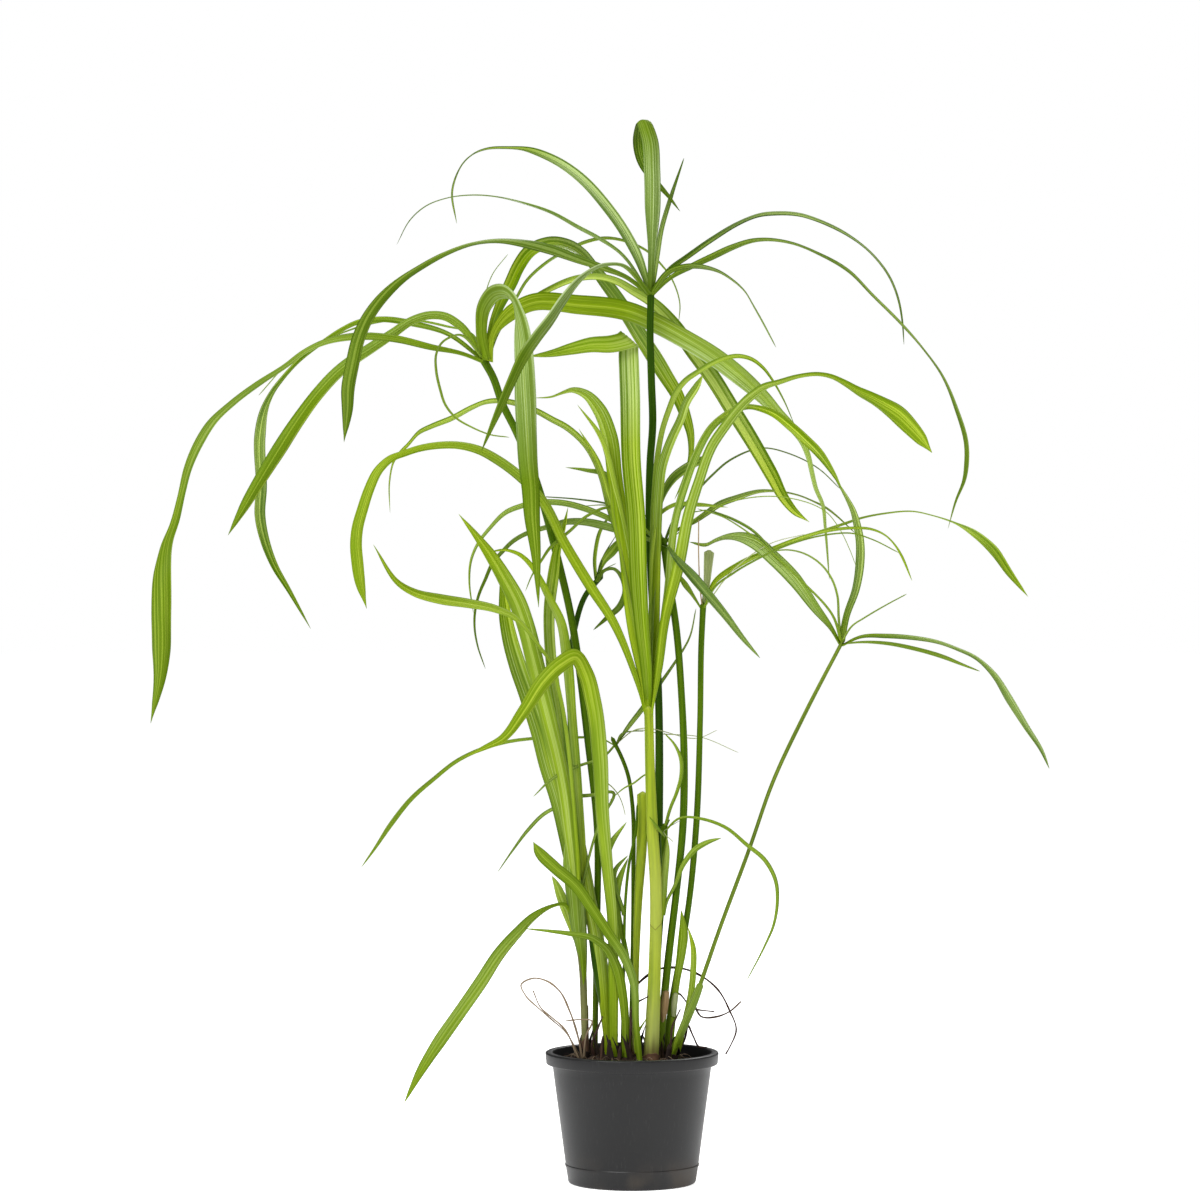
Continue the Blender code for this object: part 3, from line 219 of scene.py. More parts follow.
# A leaf's depth from its crown doubles at this distance to the side of the crown, and grows on with it.
SPREAD_REACH = 60.0

# How blades turn: the length in which most of a turn towards the eye is made, and the slow sway about it,
# in degrees, with its length.
STEER_LENGTH = 22.0
SWAY = 18.0
SWAY_LENGTH = 32.0
NO_TURN = {0: 0.0}

# The azimuth that faces the eye.
FRONT = 270

# Each umbrella: the place of its crown (x, depth, z).
CROWNS = {
    "a": (14.0, 18.0, 668.0),
    "b": (-110.0, -10.0, 618.0),
    "c": (12.5, -14.0, 356.0),
    "d": (157.0, -30.0, 406.0),
    "e": (53.0, 8.0, 431.0),
    "f": (24.0, 2.0, 480.0),
    "g": (-12.0, 6.0, 330.0),
    "h": (24.0, 0.0, 265.0),
    "i": (-27.0, 14.0, 453.0),
    "l": (-41.0, -2.0, 206.0),
}

# Stems: crown letter or None, route from the ground (x, z), depths {point: depth}, radii {point: radius}
# and finish.
STEMS = {
    "culm_a": ("a", [(17, 95), (18, 150), (20, 266), (19.5, 374), (14.5, 450), (12.7, 500), (13.5, 540),
        (15.4, 568), (14.5, 600), (13.5, 640), (14, 664)], {0: 14, 3: 15, 10: 18},
        {0: 3.4, 3: 2.9, 10: 2.7}, "stem_green"),
    "culm_b": ("b", [(-28, 95), (-27, 160), (-26, 210), (-26, 260), (-33, 330), (-41, 395), (-46, 425),
        (-57, 472), (-67, 510), (-76, 537), (-88, 565), (-97, 583), (-105, 605), (-110, 614)],
        {0: 10, 3: 9, 5: 2, 7: 2, 13: -10}, {0: 2.2, 5: 2.9, 13: 2.9}, "stem_green"),
    "culm_c": ("c", [(14, 95), (15.5, 125), (17, 166), (17.5, 226), (15, 266), (13.5, 306), (12.5, 350)],
        {0: -14, 6: -14}, {0: 5.6, 2: 4.7, 4: 4.2, 6: 3.4}, "stem_pale"),
    "culm_d": ("d", [(29, 95), (34, 106), (42, 124), (51, 148), (65, 188), (88, 250), (106, 301),
        (130, 352), (156, 402)], {0: -9, 3: -14, 8: -30}, {0: 4.2, 3: 2.9, 4: 2.0, 8: 1.8}, "stem_green"),
    "culm_e": ("e", [(25, 95), (30, 135), (36, 169), (42, 205), (48, 266), (51, 346), (52, 406), (53, 427)],
        {0: 6, 7: 8}, {0: 2.5, 7: 2.2}, "stem_green"),
    "culm_f": ("f", [(21, 95), (23, 125), (27, 166), (33, 216), (38, 266), (39, 316), (37, 366), (33, 416),
        (27, 455), (24, 476)], {0: -2, 4: -1, 9: 2}, {0: 2.9, 9: 2.6}, "stem_green"),
    "culm_g": ("g", [(-1, 95), (0, 150), (1, 230), (0, 285), (-3, 305), (-9, 321), (-12, 327)],
        {0: 9, 3: 8, 6: 6}, {0: 1.8, 6: 1.5}, "stem_green"),
    "culm_h": ("h", [(12, 95), (18, 150), (21.5, 197), (24, 230), (24, 261)], {0: 1, 4: 0},
        {0: 2.2, 2: 2.2, 3: 3.4, 4: 2.6}, "stem_green"),
    "culm_i": ("i", [(-15, 95), (-18, 120), (-24, 150), (-29, 185), (-34, 225), (-39, 260), (-44, 300),
        (-46, 340), (-46.5, 380), (-43, 415), (-33, 443), (-27, 450)], {0: 1, 3: 2, 6: 8, 8: 12, 11: 14},
        {0: 3.0, 2: 4.2, 4: 3.6, 6: 2.4, 11: 2.0}, "stem_green"),
    "culm_k": (None, [(-8, 95), (-6, 165), (-5, 210), (-2, 240), (3, 264), (4, 284)], {0: -9, 5: -11},
        {0: 1.1, 4: 1.1, 5: 0.7}, "stem_green"),
    "culm_l": ("l", [(-35, 95), (-36, 130), (-37, 158), (-40, 190), (-41, 202)], {0: -3, 4: -2},
        {0: 2.7, 2: 2.7, 3: 3.6, 4: 3.2}, "sheath_brown"),
    "old_stub": (None, [(3, 95), (2.5, 130), (3, 165), (4.5, 210), (7, 250), (8, 293)], {0: -5, 5: -3},
        {0: 2.6, 2: 2.3, 3: 3.2, 4: 4.0, 5: 4.2}, "stem_pale"),
}

# Leaves: crown letter or None, (azimuth in degrees, height on the crown) or the facing azimuth, route as
# seen, depths and widths as seen at some of its points, and finish. Point 0 is the root on the crown, or
# the first place of a leaf that grows from the ground. Leaf C1 goes on here over its crease; see CREASED.
LEAVES = {
    "leaf_a1": ("a", (270, 7), [(15, 700), (15.5, 730), (15, 760), (13, 783), (8, 795), (5, 784), (8, 764),
        (18, 750), (26, 741), (36, 728)], {0: 18, 1: 8, 3: 6, 4: 9, 5: 14, 6: 19, 10: 24},
        {1: 6, 2: 12, 4: 13, 6: 10, 8: 5, 10: 0.8}, "dark"),
    "leaf_a2": ("a", (60, 8), [(19, 696), (22, 714), (28, 735), (39, 768)], {0: 18, 1: 26, 4: 34},
        {1: 4, 3: 3.5, 4: 0.8}, "dark"),
    "leaf_a3": ("a", (140, 7), [(3, 697), (-7, 715), (-20, 733), (-35, 750), (-50, 762), (-65, 770),
        (-80, 775), (-95, 776), (-110, 775), (-120, 771), (-128, 763), (-133, 752), (-135, 742),
        (-131.5, 719)], {0: 18, 1: 28, 7: 48, 14: 62},
        {1: 8, 3: 8.2, 6: 7, 8: 6.5, 12: 4.5, 13: 3, 14: 0.8}, "dark"),
    "leaf_a4": ("a", (168, 3), [(-10, 698), (-25, 708), (-40, 716), (-60, 727), (-80, 734), (-100, 739),
        (-120, 740.5), (-140, 738), (-155, 732), (-167, 721), (-176.5, 703)], {0: 18, 1: 22, 11: 44},
        {1: 3, 5: 4, 9: 3, 11: 0.8}, "dark"),
    "leaf_a5": ("a", (196, 0), [(-5, 679), (-20, 685), (-40, 692), (-60, 699), (-80, 703.5), (-100, 705.5),
        (-120, 703), (-140, 696), (-160, 685), (-175, 675), (-190, 660), (-200, 645), (-206, 630),
        (-210, 612), (-213, 595), (-213.5, 578), (-216, 555)], {0: 18, 1: 12, 17: -30},
        {1: 4, 4: 8, 11: 9.5, 15: 9.8, 16: 8, 17: 0.8}, "dark"),
    "leaf_a6": ("a", (226, 2), [(-6, 687), (-20, 688), (-32, 683), (-42, 674), (-52, 661), (-62, 646),
        (-72, 633), (-82, 618), (-91, 599), (-98, 583), (-105, 567), (-113, 548)],
        {0: 18, 1: -6, 3: -30, 6: -48, 12: -60}, {1: 4, 3: 8, 8: 8.5, 10: 6, 12: 0.8}, "dark"),
    "leaf_a7": ("a", (25, 4), [(30, 686), (40, 693), (60, 707), (80, 719), (95, 725), (110, 726.5),
        (125, 725.5), (140, 721), (163, 709.5), (181, 695), (193, 679), (199.5, 663), (202.6, 647),
        (204, 628)], {0: 18, 1: 26, 14: 66}, {1: 4, 5: 4.6, 9: 4, 12: 2.6, 14: 0.8}, "dark"),
    "leaf_a8": ("a", (345, 1), [(30, 679), (45, 687), (60, 694), (75, 701), (90, 706), (100, 707),
        (120, 704.5), (143, 695), (163, 683), (181, 665), (203, 643), (219, 625), (233, 605), (243, 581),
        (250.5, 555), (251, 541), (249, 526), (243, 511), (237, 490)], {0: 18, 1: 12, 19: -26},
        {1: 4, 4: 7, 9: 6, 14: 6.5, 16: 5, 19: 0.8}, "dark"),
    "leaf_a9": ("a", (315, 4), [(30, 684), (45, 687), (55, 686), (65, 683), (75, 677), (85, 668), (92, 656),
        (98, 645), (108, 626)], {0: 18, 1: 4, 9: -22}, {1: 5, 2: 5, 4: 4.4, 7: 3.5, 9: 0.8}, "dark"),
    "leaf_b1": ("b", (286, 7), [(-113, 640), (-111, 656), (-104, 666), (-95, 668), (-88, 662), (-84, 648),
        (-81, 620), (-80, 590), (-79, 560), (-78, 540), (-76, 520), (-75, 500), (-72, 470), (-70, 431)],
        {0: -10, 1: -16, 3: -26, 5: -38, 6: -42, 14: -44},
        {1: 8, 3: 13, 6: 15, 8: 16, 11: 14, 12: 12, 14: 0.8}, "mid"),
    "leaf_b2": ("b", (345, 3), [(-103, 638), (-93, 650), (-77, 659), (-40, 658), (0, 652), (20, 643),
        (40, 632), (60, 620), (80, 605), (100, 587), (110, 576), (120, 566), (127, 557), (132, 545),
        (135, 532), (138, 520), (143, 508), (145, 490), (148, 452)],
        {0: -10, 1: -10, 2: -8, 3: -4, 4: 0, 5: 2.5, 6: 2.5, 8: 0.5, 10: -1.8, 19: -5.8},
        {1: 6, 2: 12, 4: 15, 7: 15, 9: 14, 12: 7, 14: 4, 17: 3, 19: 0.8}, "bright"),
    "leaf_b3": ("b", (20, 8), [(-103, 648), (-98, 660), (-91, 674), (-85, 687), (-77, 698), (-60, 705),
        (-45, 702), (-35, 695), (-25, 681), (-15, 668), (-3, 650), (8, 632), (17, 618), (25, 605),
        (34, 590), (40, 575), (44, 560), (44, 545), (40, 530), (32, 512)],
        {0: -10, 1: -6, 5: 14, 9: 34, 20: 42}, {1: 6, 3: 10, 9: 10, 13: 13, 16: 9, 18: 4, 20: 0.8},
        "bright"),
    "leaf_b4": ("b", (60, 3), [(-98, 642), (-85, 655), (-65, 668), (-40, 678), (-25, 679), (-10, 675),
        (0, 669), (15, 660), (30, 645), (45, 624), (60, 604), (75, 580), (90, 556), (105, 530), (114, 513),
        (122, 503), (133, 495)], {0: -10, 1: -2, 3: 4, 5: 5, 8: 5.5, 17: 6},
        {1: 3, 6: 6, 9: 10, 11: 13, 14: 11, 16: 6, 17: 0.8}, "bright"),
    "leaf_b5": ("b", (185, 5), [(-130, 643), (-140, 649), (-152, 650), (-165, 646), (-180, 636),
        (-195, 626), (-210, 616), (-220, 608), (-235, 592), (-250, 572), (-265, 549), (-280, 525),
        (-290, 508), (-303, 485)], {0: -10, 14: -22}, {1: 7, 4: 7, 8: 9, 11: 11, 13: 8, 14: 0.8}, "mid"),
    "leaf_b6": ("b", (158, 2), [(-140, 637), (-165, 644), (-185, 647), (-205, 645), (-220, 638),
        (-235, 628), (-250, 616), (-262, 603), (-270, 592), (-276, 578), (-279, 560), (-278, 520),
        (-279, 500), (-275, 480), (-268, 462), (-258, 445), (-241, 415)], {0: -10, 1: 2, 17: 34},
        {1: 4, 5: 7, 8: 7.5, 11: 9, 13: 8.6, 14: 7.4, 15: 6, 16: 4, 17: 0.8}, "mid"),
    "leaf_b7": ("b", (214, 0), [(-130, 622), (-150, 626), (-175, 632), (-190, 634), (-210, 634),
        (-230, 630), (-245, 623), (-260, 612), (-280, 599), (-300, 584), (-315, 570), (-325, 554),
        (-333, 535), (-338, 515), (-343, 495), (-349, 478), (-352, 460), (-353, 430), (-353, 400),
        (-354, 380), (-361, 344)], {0: -10, 1: -20, 21: -62},
        {1: 4, 5: 7, 10: 8, 14: 10, 17: 14, 19: 13.5, 20: 9, 21: 0.8}, "mid"),
    "leaf_c1": ("c", (262, 5), [(11, 380), (7, 420), (5, 450), (3, 500), (-0.5, 540), (-1.5, 590),
        (-2.5, 618), (-16, 628.5), (-30, 628), (-45, 625), (-60, 621.5), (-79, 619)],
        {0: -14, 1: -22, 3: -26, 7: -26, 8: -27, 9: -24, 10: -20, 12: -14},
        {0: 3, 1: 8, 2: 11, 3: 13, 6: 15, 7: 15, 8: 13, 9: 11.5, 10: 9, 11: 5.5, 12: 0.8}, "bright"),
    "leaf_c2": ("c", (232, 3), [(6, 385), (1, 410), (-6, 480), (-13, 530), (-17, 560), (-25, 580),
        (-35, 591), (-45, 594), (-52, 592), (-60, 589), (-73, 588)], {0: -14, 1: -16, 11: -8},
        {1: 6, 3: 10, 5: 12, 6: 11, 8: 4, 9: 2, 11: 0.8}, "bright"),
    "leaf_c3": ("c", (60, 6), [(17, 385), (18, 420), (18.5, 460), (20.5, 519), (22, 534), (26, 548),
        (30, 558), (36.5, 572), (41, 585), (48, 596), (53, 605)], {0: -14, 1: -9, 11: -6},
        {1: 5, 4: 7, 7: 7, 10: 6, 11: 2.5}, "bright"),
    "leaf_c4": ("c", (335, 4), [(20, 385), (24.7, 421), (35, 463), (43.6, 505), (50, 525), (60, 552),
        (70, 567), (80, 580), (90, 590), (100, 597), (110, 600), (125, 604.5), (140, 606), (150, 604),
        (160, 599), (170, 593), (180, 588), (190, 582), (200, 575), (210, 565), (218, 556), (225, 547)],
        {0: -14, 1: -18, 6: -24, 9: -34, 22: -46},
        {1: 6, 3: 9, 5: 8, 8: 7, 13: 7, 17: 11, 19: 15, 21: 9, 22: 1.5}, "bright"),
    "leaf_c5": ("c", (15, 7), [(19, 390), (26.5, 440), (33.3, 500), (39.6, 522), (48, 545), (59, 565),
        (70, 575), (80, 580), (92, 581), (105, 577), (120, 566), (130, 557), (140, 547), (150, 533),
        (158, 519)], {0: -14, 1: -11, 6: -9, 9: -30, 15: -38},
        {1: 5, 2: 6, 5: 6, 8: 5, 11: 7, 13: 7, 15: 0.8}, "bright"),
    "leaf_c6": ("c", (90, 4), [(15, 385), (15, 450), (17, 520), (20, 550), (23, 565), (28, 580), (33, 592),
        (40, 601), (50, 608), (60, 614), (70, 618), (80, 619.5), (90, 617), (98, 611), (105, 602),
        (112, 590), (123, 565)], {0: -14, 1: -7, 2: -3, 6: 0, 17: -6}, {1: 4, 7: 4.5, 14: 3, 17: 0.8},
        "bright"),
    "leaf_c7": ("c", (196, 6), [(2, 381), (-13.5, 419), (-32, 448), (-50, 478), (-68, 512), (-84, 529),
        (-100, 541), (-115, 549), (-130, 552.5), (-145, 552.5), (-160, 550), (-172, 546), (-180, 543),
        (-190, 534), (-197, 520), (-202, 505), (-206, 490), (-207, 478), (-206, 465), (-204, 450),
        (-199, 430)], {0: -14, 1: -16, 5: -20, 21: -30}, {1: 5, 3: 8, 9: 7, 14: 8, 19: 9, 20: 8, 21: 0.8},
        "bright"),
    "leaf_c8": ("c", (155, 2), [(8, 390), (0, 440), (-12, 490), (-17, 506), (-24, 532), (-35, 553),
        (-49, 566), (-60, 572), (-71, 578), (-87, 584), (-100, 586), (-110, 585), (-120, 581), (-135, 573),
        (-150, 567), (-160, 562), (-168, 553), (-174, 547), (-179, 540), (-182, 525), (-181.5, 502)],
        {0: -14, 1: -11, 3: -8, 21: 22}, {1: 3, 4: 5, 14: 5, 19: 4, 21: 0.8}, "bright"),
    "leaf_d1": ("d", (172, 3), [(149, 416), (138, 430), (121, 453), (105, 469), (92, 480), (81, 484),
        (71, 484), (62, 481), (56, 478), (43, 480)], {0: -30, 1: -28, 10: -14},
        {1: 5, 3: 11, 5: 11, 7: 6, 9: 4, 10: 0.8}, "mid"),
    "leaf_d2": ("d", (78, 6), [(161, 425), (168, 445), (171, 465), (171, 480), (169, 492), (166, 503),
        (160, 515), (152, 528)], {0: -30, 1: -24, 8: -10}, {1: 5, 3: 7, 5: 6, 8: 0.8}, "mid"),
    "leaf_d3": ("d", (345, 1), [(172, 409), (191, 409.5), (212, 408), (229, 405), (243, 400), (258, 393),
        (271, 381), (283, 362), (296, 341), (307, 324), (313, 310)], {0: -30, 1: -34, 11: -60},
        {1: 3, 5: 5, 8: 6, 10: 3, 11: 0.8}, "mid"),
    "leaf_e1": ("e", (345, 2), [(62, 449), (75, 459), (90, 467.5), (105, 474.5), (120, 480.5), (135, 485.5),
        (150, 489), (165, 490.5), (180, 489.5), (190, 485), (197, 478), (202, 470), (210, 451)],
        {0: 8, 1: 4, 13: -16}, {1: 3, 5: 5, 10: 4, 13: 0.8}, "mid"),
    "leaf_e2": ("e", (30, 4), [(62, 451), (80, 464), (100, 473), (120, 481), (145, 489), (160, 494),
        (172, 498), (190, 501.5), (210, 503), (225, 500), (243, 494), (256, 487), (271, 474), (283, 457),
        (297, 439)], {0: 8, 1: 14, 15: 56}, {1: 3, 6: 4, 10: 5, 13: 8, 14: 6, 15: 0.8}, "mid"),
    "leaf_f1": ("f", (290, 3), [(27.5, 476), (33, 468), (45, 455), (56, 442), (70, 425), (83, 408),
        (96, 393)], {0: 2, 1: -12, 2: -26, 7: -34}, {1: 2.5, 2: 5, 3: 8, 5: 6, 6: 4, 7: 0.8}, "dark"),
    "leaf_f2": ("f", (30, 5), [(34, 489), (46, 495), (55, 501), (65, 508), (78, 513), (95, 518), (110, 518),
        (125, 515), (135, 511), (145, 506), (153, 500), (167, 487)], {0: 2, 1: 10, 12: 44},
        {1: 3, 4: 5, 8: 4, 12: 0.8}, "mid"),
    "leaf_f3": ("f", (160, 6), [(8, 489), (-10, 494), (-20, 499), (-35, 505), (-50, 509), (-63, 510),
        (-75, 509), (-83, 507), (-95, 502), (-107, 490), (-116, 478), (-121, 465), (-122, 450),
        (-119, 427)], {0: 2, 1: 8, 14: 42}, {1: 3, 4: 5, 9: 4, 14: 0.8}, "mid"),
    "leaf_f4": ("f", (190, 2), [(10, 483), (-10, 489), (-20, 492), (-35, 495), (-50, 495), (-60, 492),
        (-68, 490), (-80, 486), (-90, 480), (-97, 473), (-104, 465), (-110, 452), (-115, 440), (-118, 425),
        (-118, 415), (-116, 403), (-110, 385)], {0: 2, 1: 1, 7: 16, 17: 12},
        {1: 4, 3: 7, 6: 4, 11: 3, 17: 0.8}, "dark"),
    "leaf_i1": ("i", (320, 2), [(-20, 459), (-14, 460), (-8, 454), (-5, 443), (-9, 432), (-19, 423),
        (-29, 414)], {0: 14, 1: 9, 7: 0}, {1: 3, 3: 5, 5: 6, 6: 4, 7: 0.8}, "dark"),
    "leaf_l1": ("l", (250, 5), [(-43, 235), (-46, 260), (-50, 290), (-56, 320), (-62, 345), (-68, 370),
        (-74, 395), (-79, 415), (-86, 435), (-95, 452), (-106, 470), (-117, 485), (-130, 501)],
        {0: -2, 1: -9, 13: -16}, {1: 9, 3: 12, 9: 14, 11: 9, 12: 5, 13: 0.8}, "bright"),
    "leaf_l2": ("l", (150, 3), [(-46, 235), (-50, 260), (-55, 285), (-63, 312), (-70, 340), (-78, 365),
        (-85, 385), (-91, 405), (-95, 425), (-97, 445), (-98, 462)], {0: -2, 1: 3, 11: 4},
        {1: 8, 3: 13, 7: 14, 9: 10, 11: 0.8}, "bright"),
    "leaf_l3": ("l", (290, 3), [(-40, 230), (-42, 260), (-46, 310), (-54, 365), (-61, 390), (-69, 401),
        (-77, 412), (-89, 424), (-103, 430), (-123, 434), (-143, 437), (-163, 442), (-175, 449),
        (-194, 478)], {0: -2, 1: -12, 5: -17, 14: -34}, {1: 3, 5: 3, 7: 3, 9: 6, 11: 8, 12: 6, 14: 0.8},
        "bright"),
    "leaf_l4": ("l", (60, 7), [(-42, 240), (-47, 290), (-54, 345), (-61, 395), (-62, 430), (-59, 455),
        (-56, 475), (-51, 492), (-48, 506)], {0: -2, 1: 1, 4: -2, 5: -6, 9: -9},
        {1: 5, 3: 8, 6: 9, 7: 6, 9: 0.8}, "bright"),
    "leaf_l5": ("l", (20, 1), [(-37, 235), (-40, 290), (-45, 350), (-49, 395), (-54, 422), (-62, 438),
        (-69, 452), (-76, 463), (-85, 471), (-95, 474), (-109, 472)],
        {0: -2, 1: -3, 4: -8, 5: -12, 11: -13}, {1: 5, 4: 8, 6: 6, 9: 3, 11: 0.8}, "bright"),
    "leaf_l6": ("l", (200, 1), [(-52, 209), (-60, 207), (-74, 199), (-86, 187), (-99, 172), (-114, 149),
        (-130, 126), (-144, 106), (-158, 84), (-171, 59)], {0: -2, 1: -6, 10: -36},
        {1: 4, 3: 8, 5: 10, 8: 10, 9: 7, 10: 0.8}, "mid"),
    "leaf_fold": (None, 270, [(-14, 96.5), (-14, 150), (-15, 200), (-18, 231), (-22, 275), (-24, 318),
        (-29, 360), (-35, 382), (-43, 394), (-54, 388), (-66, 376), (-82, 352), (-98, 332), (-110, 326),
        (-128, 318)], {0: -13, 5: -22, 7: -26, 9: -40, 10: -46, 14: -52},
        {0: 6, 2: 7, 4: 9, 5: 11, 10: 11, 11: 9, 12: 6, 14: 0.8}, "bright"),
    "leaf_low_left": (None, 270, [(6, 96.5), (3, 120), (1, 150), (-6, 169), (-18, 187), (-30, 205),
        (-42, 222), (-58, 236), (-70, 248), (-74, 255)], {0: -24, 3: -28, 9: -34},
        {0: 4, 3: 7, 6: 9, 8: 9, 9: 1.0}, "dark"),
    "leaf_low_left_2": (None, 270, [(-5, 96.5), (-5, 118), (-7, 140), (-12, 162), (-20, 176), (-30, 183),
        (-45, 186), (-60, 188), (-80, 190)], {0: -15, 4: -20, 8: -24}, {0: 5, 3: 8, 5: 5, 6: 4, 8: 0.8},
        "mid"),
    "leaf_low_right": (None, 270, [(28, 96.5), (31, 125), (33.5, 150), (37, 172), (38.5, 187), (37, 204)],
        {0: -1.5, 5: 0}, {0: 4, 2: 5, 3: 7, 4: 8, 5: 0.8}, "dark"),
    "leaf_low_right_2": (None, 270, [(33, 96.5), (39, 118), (44, 140), (46, 160), (46, 175), (42, 191)],
        {0: 3, 5: -2}, {0: 4, 2: 5, 4: 4.5, 5: 0.8}, "bright"),
}

# Where a blade turns away from the eye: degrees at some of its points.
TURNS = {
    "leaf_a3": {0: 0, 5: 20, 6: 42, 7: 62, 8: 72, 10: 65, 12: 55, 13: 20},
    "leaf_a4": {0: 40, 2: 25, 3: 58, 5: 74, 6: 68, 10: 60},
    "leaf_a5": {0: 0, 3: 20, 4: 50, 5: 78, 7: 76, 8: 64, 10: 57, 11: 45, 12: 0},
    "leaf_a7": {2: 0, 3: 45, 4: 66, 5: 78, 6: 78, 8: 68, 9: 58, 12: 45},
    "leaf_a8": {0: 0, 3: 20, 4: 52, 5: 62, 6: 72, 7: 80, 9: 78, 10: 72, 12: 66, 14: 58, 15: 42, 17: 45},
    "leaf_a9": {2: 0, 3: 65, 4: 60, 7: 52, 8: 30},
    "leaf_b6": {0: 0, 2: 40, 3: 60, 5: 58, 6: 35, 7: 56, 8: 50, 9: 22, 10: 0},
    "leaf_b7": {0: 0, 2: 30, 5: 52, 8: 62, 11: 66, 12: 62, 14: 48, 16: 38, 17: 0},
    "leaf_c4": {8: 0, 9: 42, 11: 54, 12: 62, 14: 56, 16: 48, 17: 36, 18: 18, 19: 0},
    "leaf_c6": {10: 0, 11: 40, 12: 66, 13: 56, 14: 66, 17: 60},
    "leaf_c7": {6: 0, 7: 45, 8: 60, 9: 70, 11: 68, 12: 42, 13: 25, 14: 0},
    "leaf_c8": {0: 0, 7: 15, 8: 62, 9: 30, 12: 48, 13: 0, 15: 20, 17: 60},
    "leaf_d1": {4: 0, 5: 35, 7: 55, 8: 42, 9: 0},
    "leaf_d3": {1: 0, 2: 38, 3: 48, 5: 44, 6: 36, 7: 20, 8: 0},
    "leaf_e1": {8: 0, 9: 30, 10: 40, 11: 20, 12: 0},
    "leaf_e2": {5: 0, 7: 30, 10: 40, 11: 30, 12: 20, 13: 10, 14: 0},
    "leaf_fold": {6: 0, 7: 20, 8: 40, 9: 20, 10: 0},
}

# Thin leaves and short bracts: azimuth and height on the stem's crown, route, depths and widths.
TWIGS = {
    "culm_b": [
        ((85, 6), [(-101, 645), (-90, 658), (-79, 676), (-65, 689), (-50, 698), (-35, 705), (-20, 708),
         (0, 704), (13, 697), (22, 688), (30, 677), (36, 657), (35, 645)], {0: -10, 1: 9, 5: 36, 13: 46},
         {1: 2, 6: 3, 13: 0.8}),
        ((140, 7), [(-120, 636), (-140, 642), (-160, 646), (-178, 646.5), (-197, 643.5), (-217, 637),
         (-237, 628), (-257, 615), (-280, 590)], {0: -10, 1: 4, 9: 60}, {1: 2, 9: 0.8}),
        ((240, 4), [(-133, 635), (-143, 629), (-147, 620), (-147, 610), (-144, 595), (-140, 583),
         (-133, 574), (-120, 566), (-108, 561), (-92, 558.5)], {0: -10, 1: -32, 10: -42}, {1: 3, 10: 0.8}),
    ],
    "culm_d": [
        ((20, 3), [(172, 405), (191, 404), (212, 400), (233, 394), (248, 388), (261, 383)],
         {0: -30, 1: -26, 6: -14}, {1: 3, 4: 3.5, 6: 0.8}),
        ((130, 6), [(155, 424), (154, 440), (150, 452), (143, 462), (130, 471), (118, 474), (105, 473),
         (92, 470)], {0: -30, 1: -24, 8: -8}, {1: 2, 8: 0.8}),
        ((255, 6), [(151, 424), (126, 452), (108, 469), (100, 477), (90, 485), (80, 492), (70, 498),
         (49, 505)], {0: -30, 1: -42, 8: -36}, {1: 2, 8: 0.8}),
        ((310, 6), [(165, 417), (174, 423), (191, 433), (206, 441)], {0: -30, 1: -36, 4: -50},
         {1: 1.5, 4: 0.8}),
    ],
    "culm_e": [
        ((315, 5), [(62, 446), (75, 456), (90, 465), (110, 475), (130, 482), (150, 486), (165, 486.5),
         (180, 482), (200, 472)], {0: 8, 1: -4, 3: -26, 9: -38}, {1: 2, 9: 0.8}),
        ((110, 6), [(56, 448), (57, 461), (58, 474)], {0: 8, 1: 12, 3: 16}, {1: 5, 3: 8}),
        ((190, 5), [(45, 441), (40, 448), (34, 457)], {0: 8, 1: 7, 3: 4}, {1: 4, 2: 6, 3: 1}),
    ],
    "culm_f": [
        ((60, 7), [(31, 496), (42, 511), (54, 524), (60, 530), (70, 539), (80, 545), (90, 549),
         (100, 550.5), (120, 545.5), (140, 535), (156, 520)], {0: 2, 1: 12, 11: 60}, {1: 2, 11: 0.8}),
        ((105, 6), [(15, 497), (-4, 504), (-20, 509), (-40, 512), (-66, 514)], {0: 2, 1: 26, 5: 50},
         {1: 2, 5: 0.8}),
    ],
    "culm_g": [
        ((30, 4), [(-3, 341), (7, 354), (22, 375), (33, 391), (43, 408), (48, 430)],
         {0: 6, 2: 16, 3: 27, 5: 28, 6: 24}, {1: 4, 2: 4, 4: 2, 6: 0.8}),
        ((190, 2), [(-24, 333), (-40, 333.5), (-69, 333), (-94, 330), (-112, 325), (-131, 316), (-149, 302),
         (-165, 288), (-181, 268), (-193, 250), (-203, 236)], {0: 6, 1: 15, 2: 20, 11: 26},
         {1: 2, 5: 3, 9: 4, 11: 0.8}),
    ],
    "culm_h": [
        ((340, 4), [(36, 273), (54, 272), (70, 266), (86, 253), (100, 241), (108, 225), (109, 210),
         (106, 192), (100, 178), (86, 151)], {0: 0, 1: -7, 2: -10, 10: -24}, {1: 2.5, 5: 3.5, 10: 0.8}),
        ((300, 6), [(29, 281), (33.5, 292), (37, 306), (36.5, 318), (32, 328), (24, 337)],
         {0: 0, 1: -5, 6: -10}, {1: 2.5, 4: 3, 6: 0.8}),
    ],
    "culm_i": [
        ((100, 6), [(-28, 467), (-27, 476), (-24, 488), (-18, 498), (-14, 504)], {0: 14, 1: 19, 5: 24},
         {1: 3, 3: 3, 5: 0.8}),
        ((40, 4), [(-21, 466), (-15, 473), (-10, 479), (-1, 486)], {0: 14, 1: 18, 4: 24},
         {1: 5, 2: 8, 3: 6, 4: 0.8}),
    ],
}

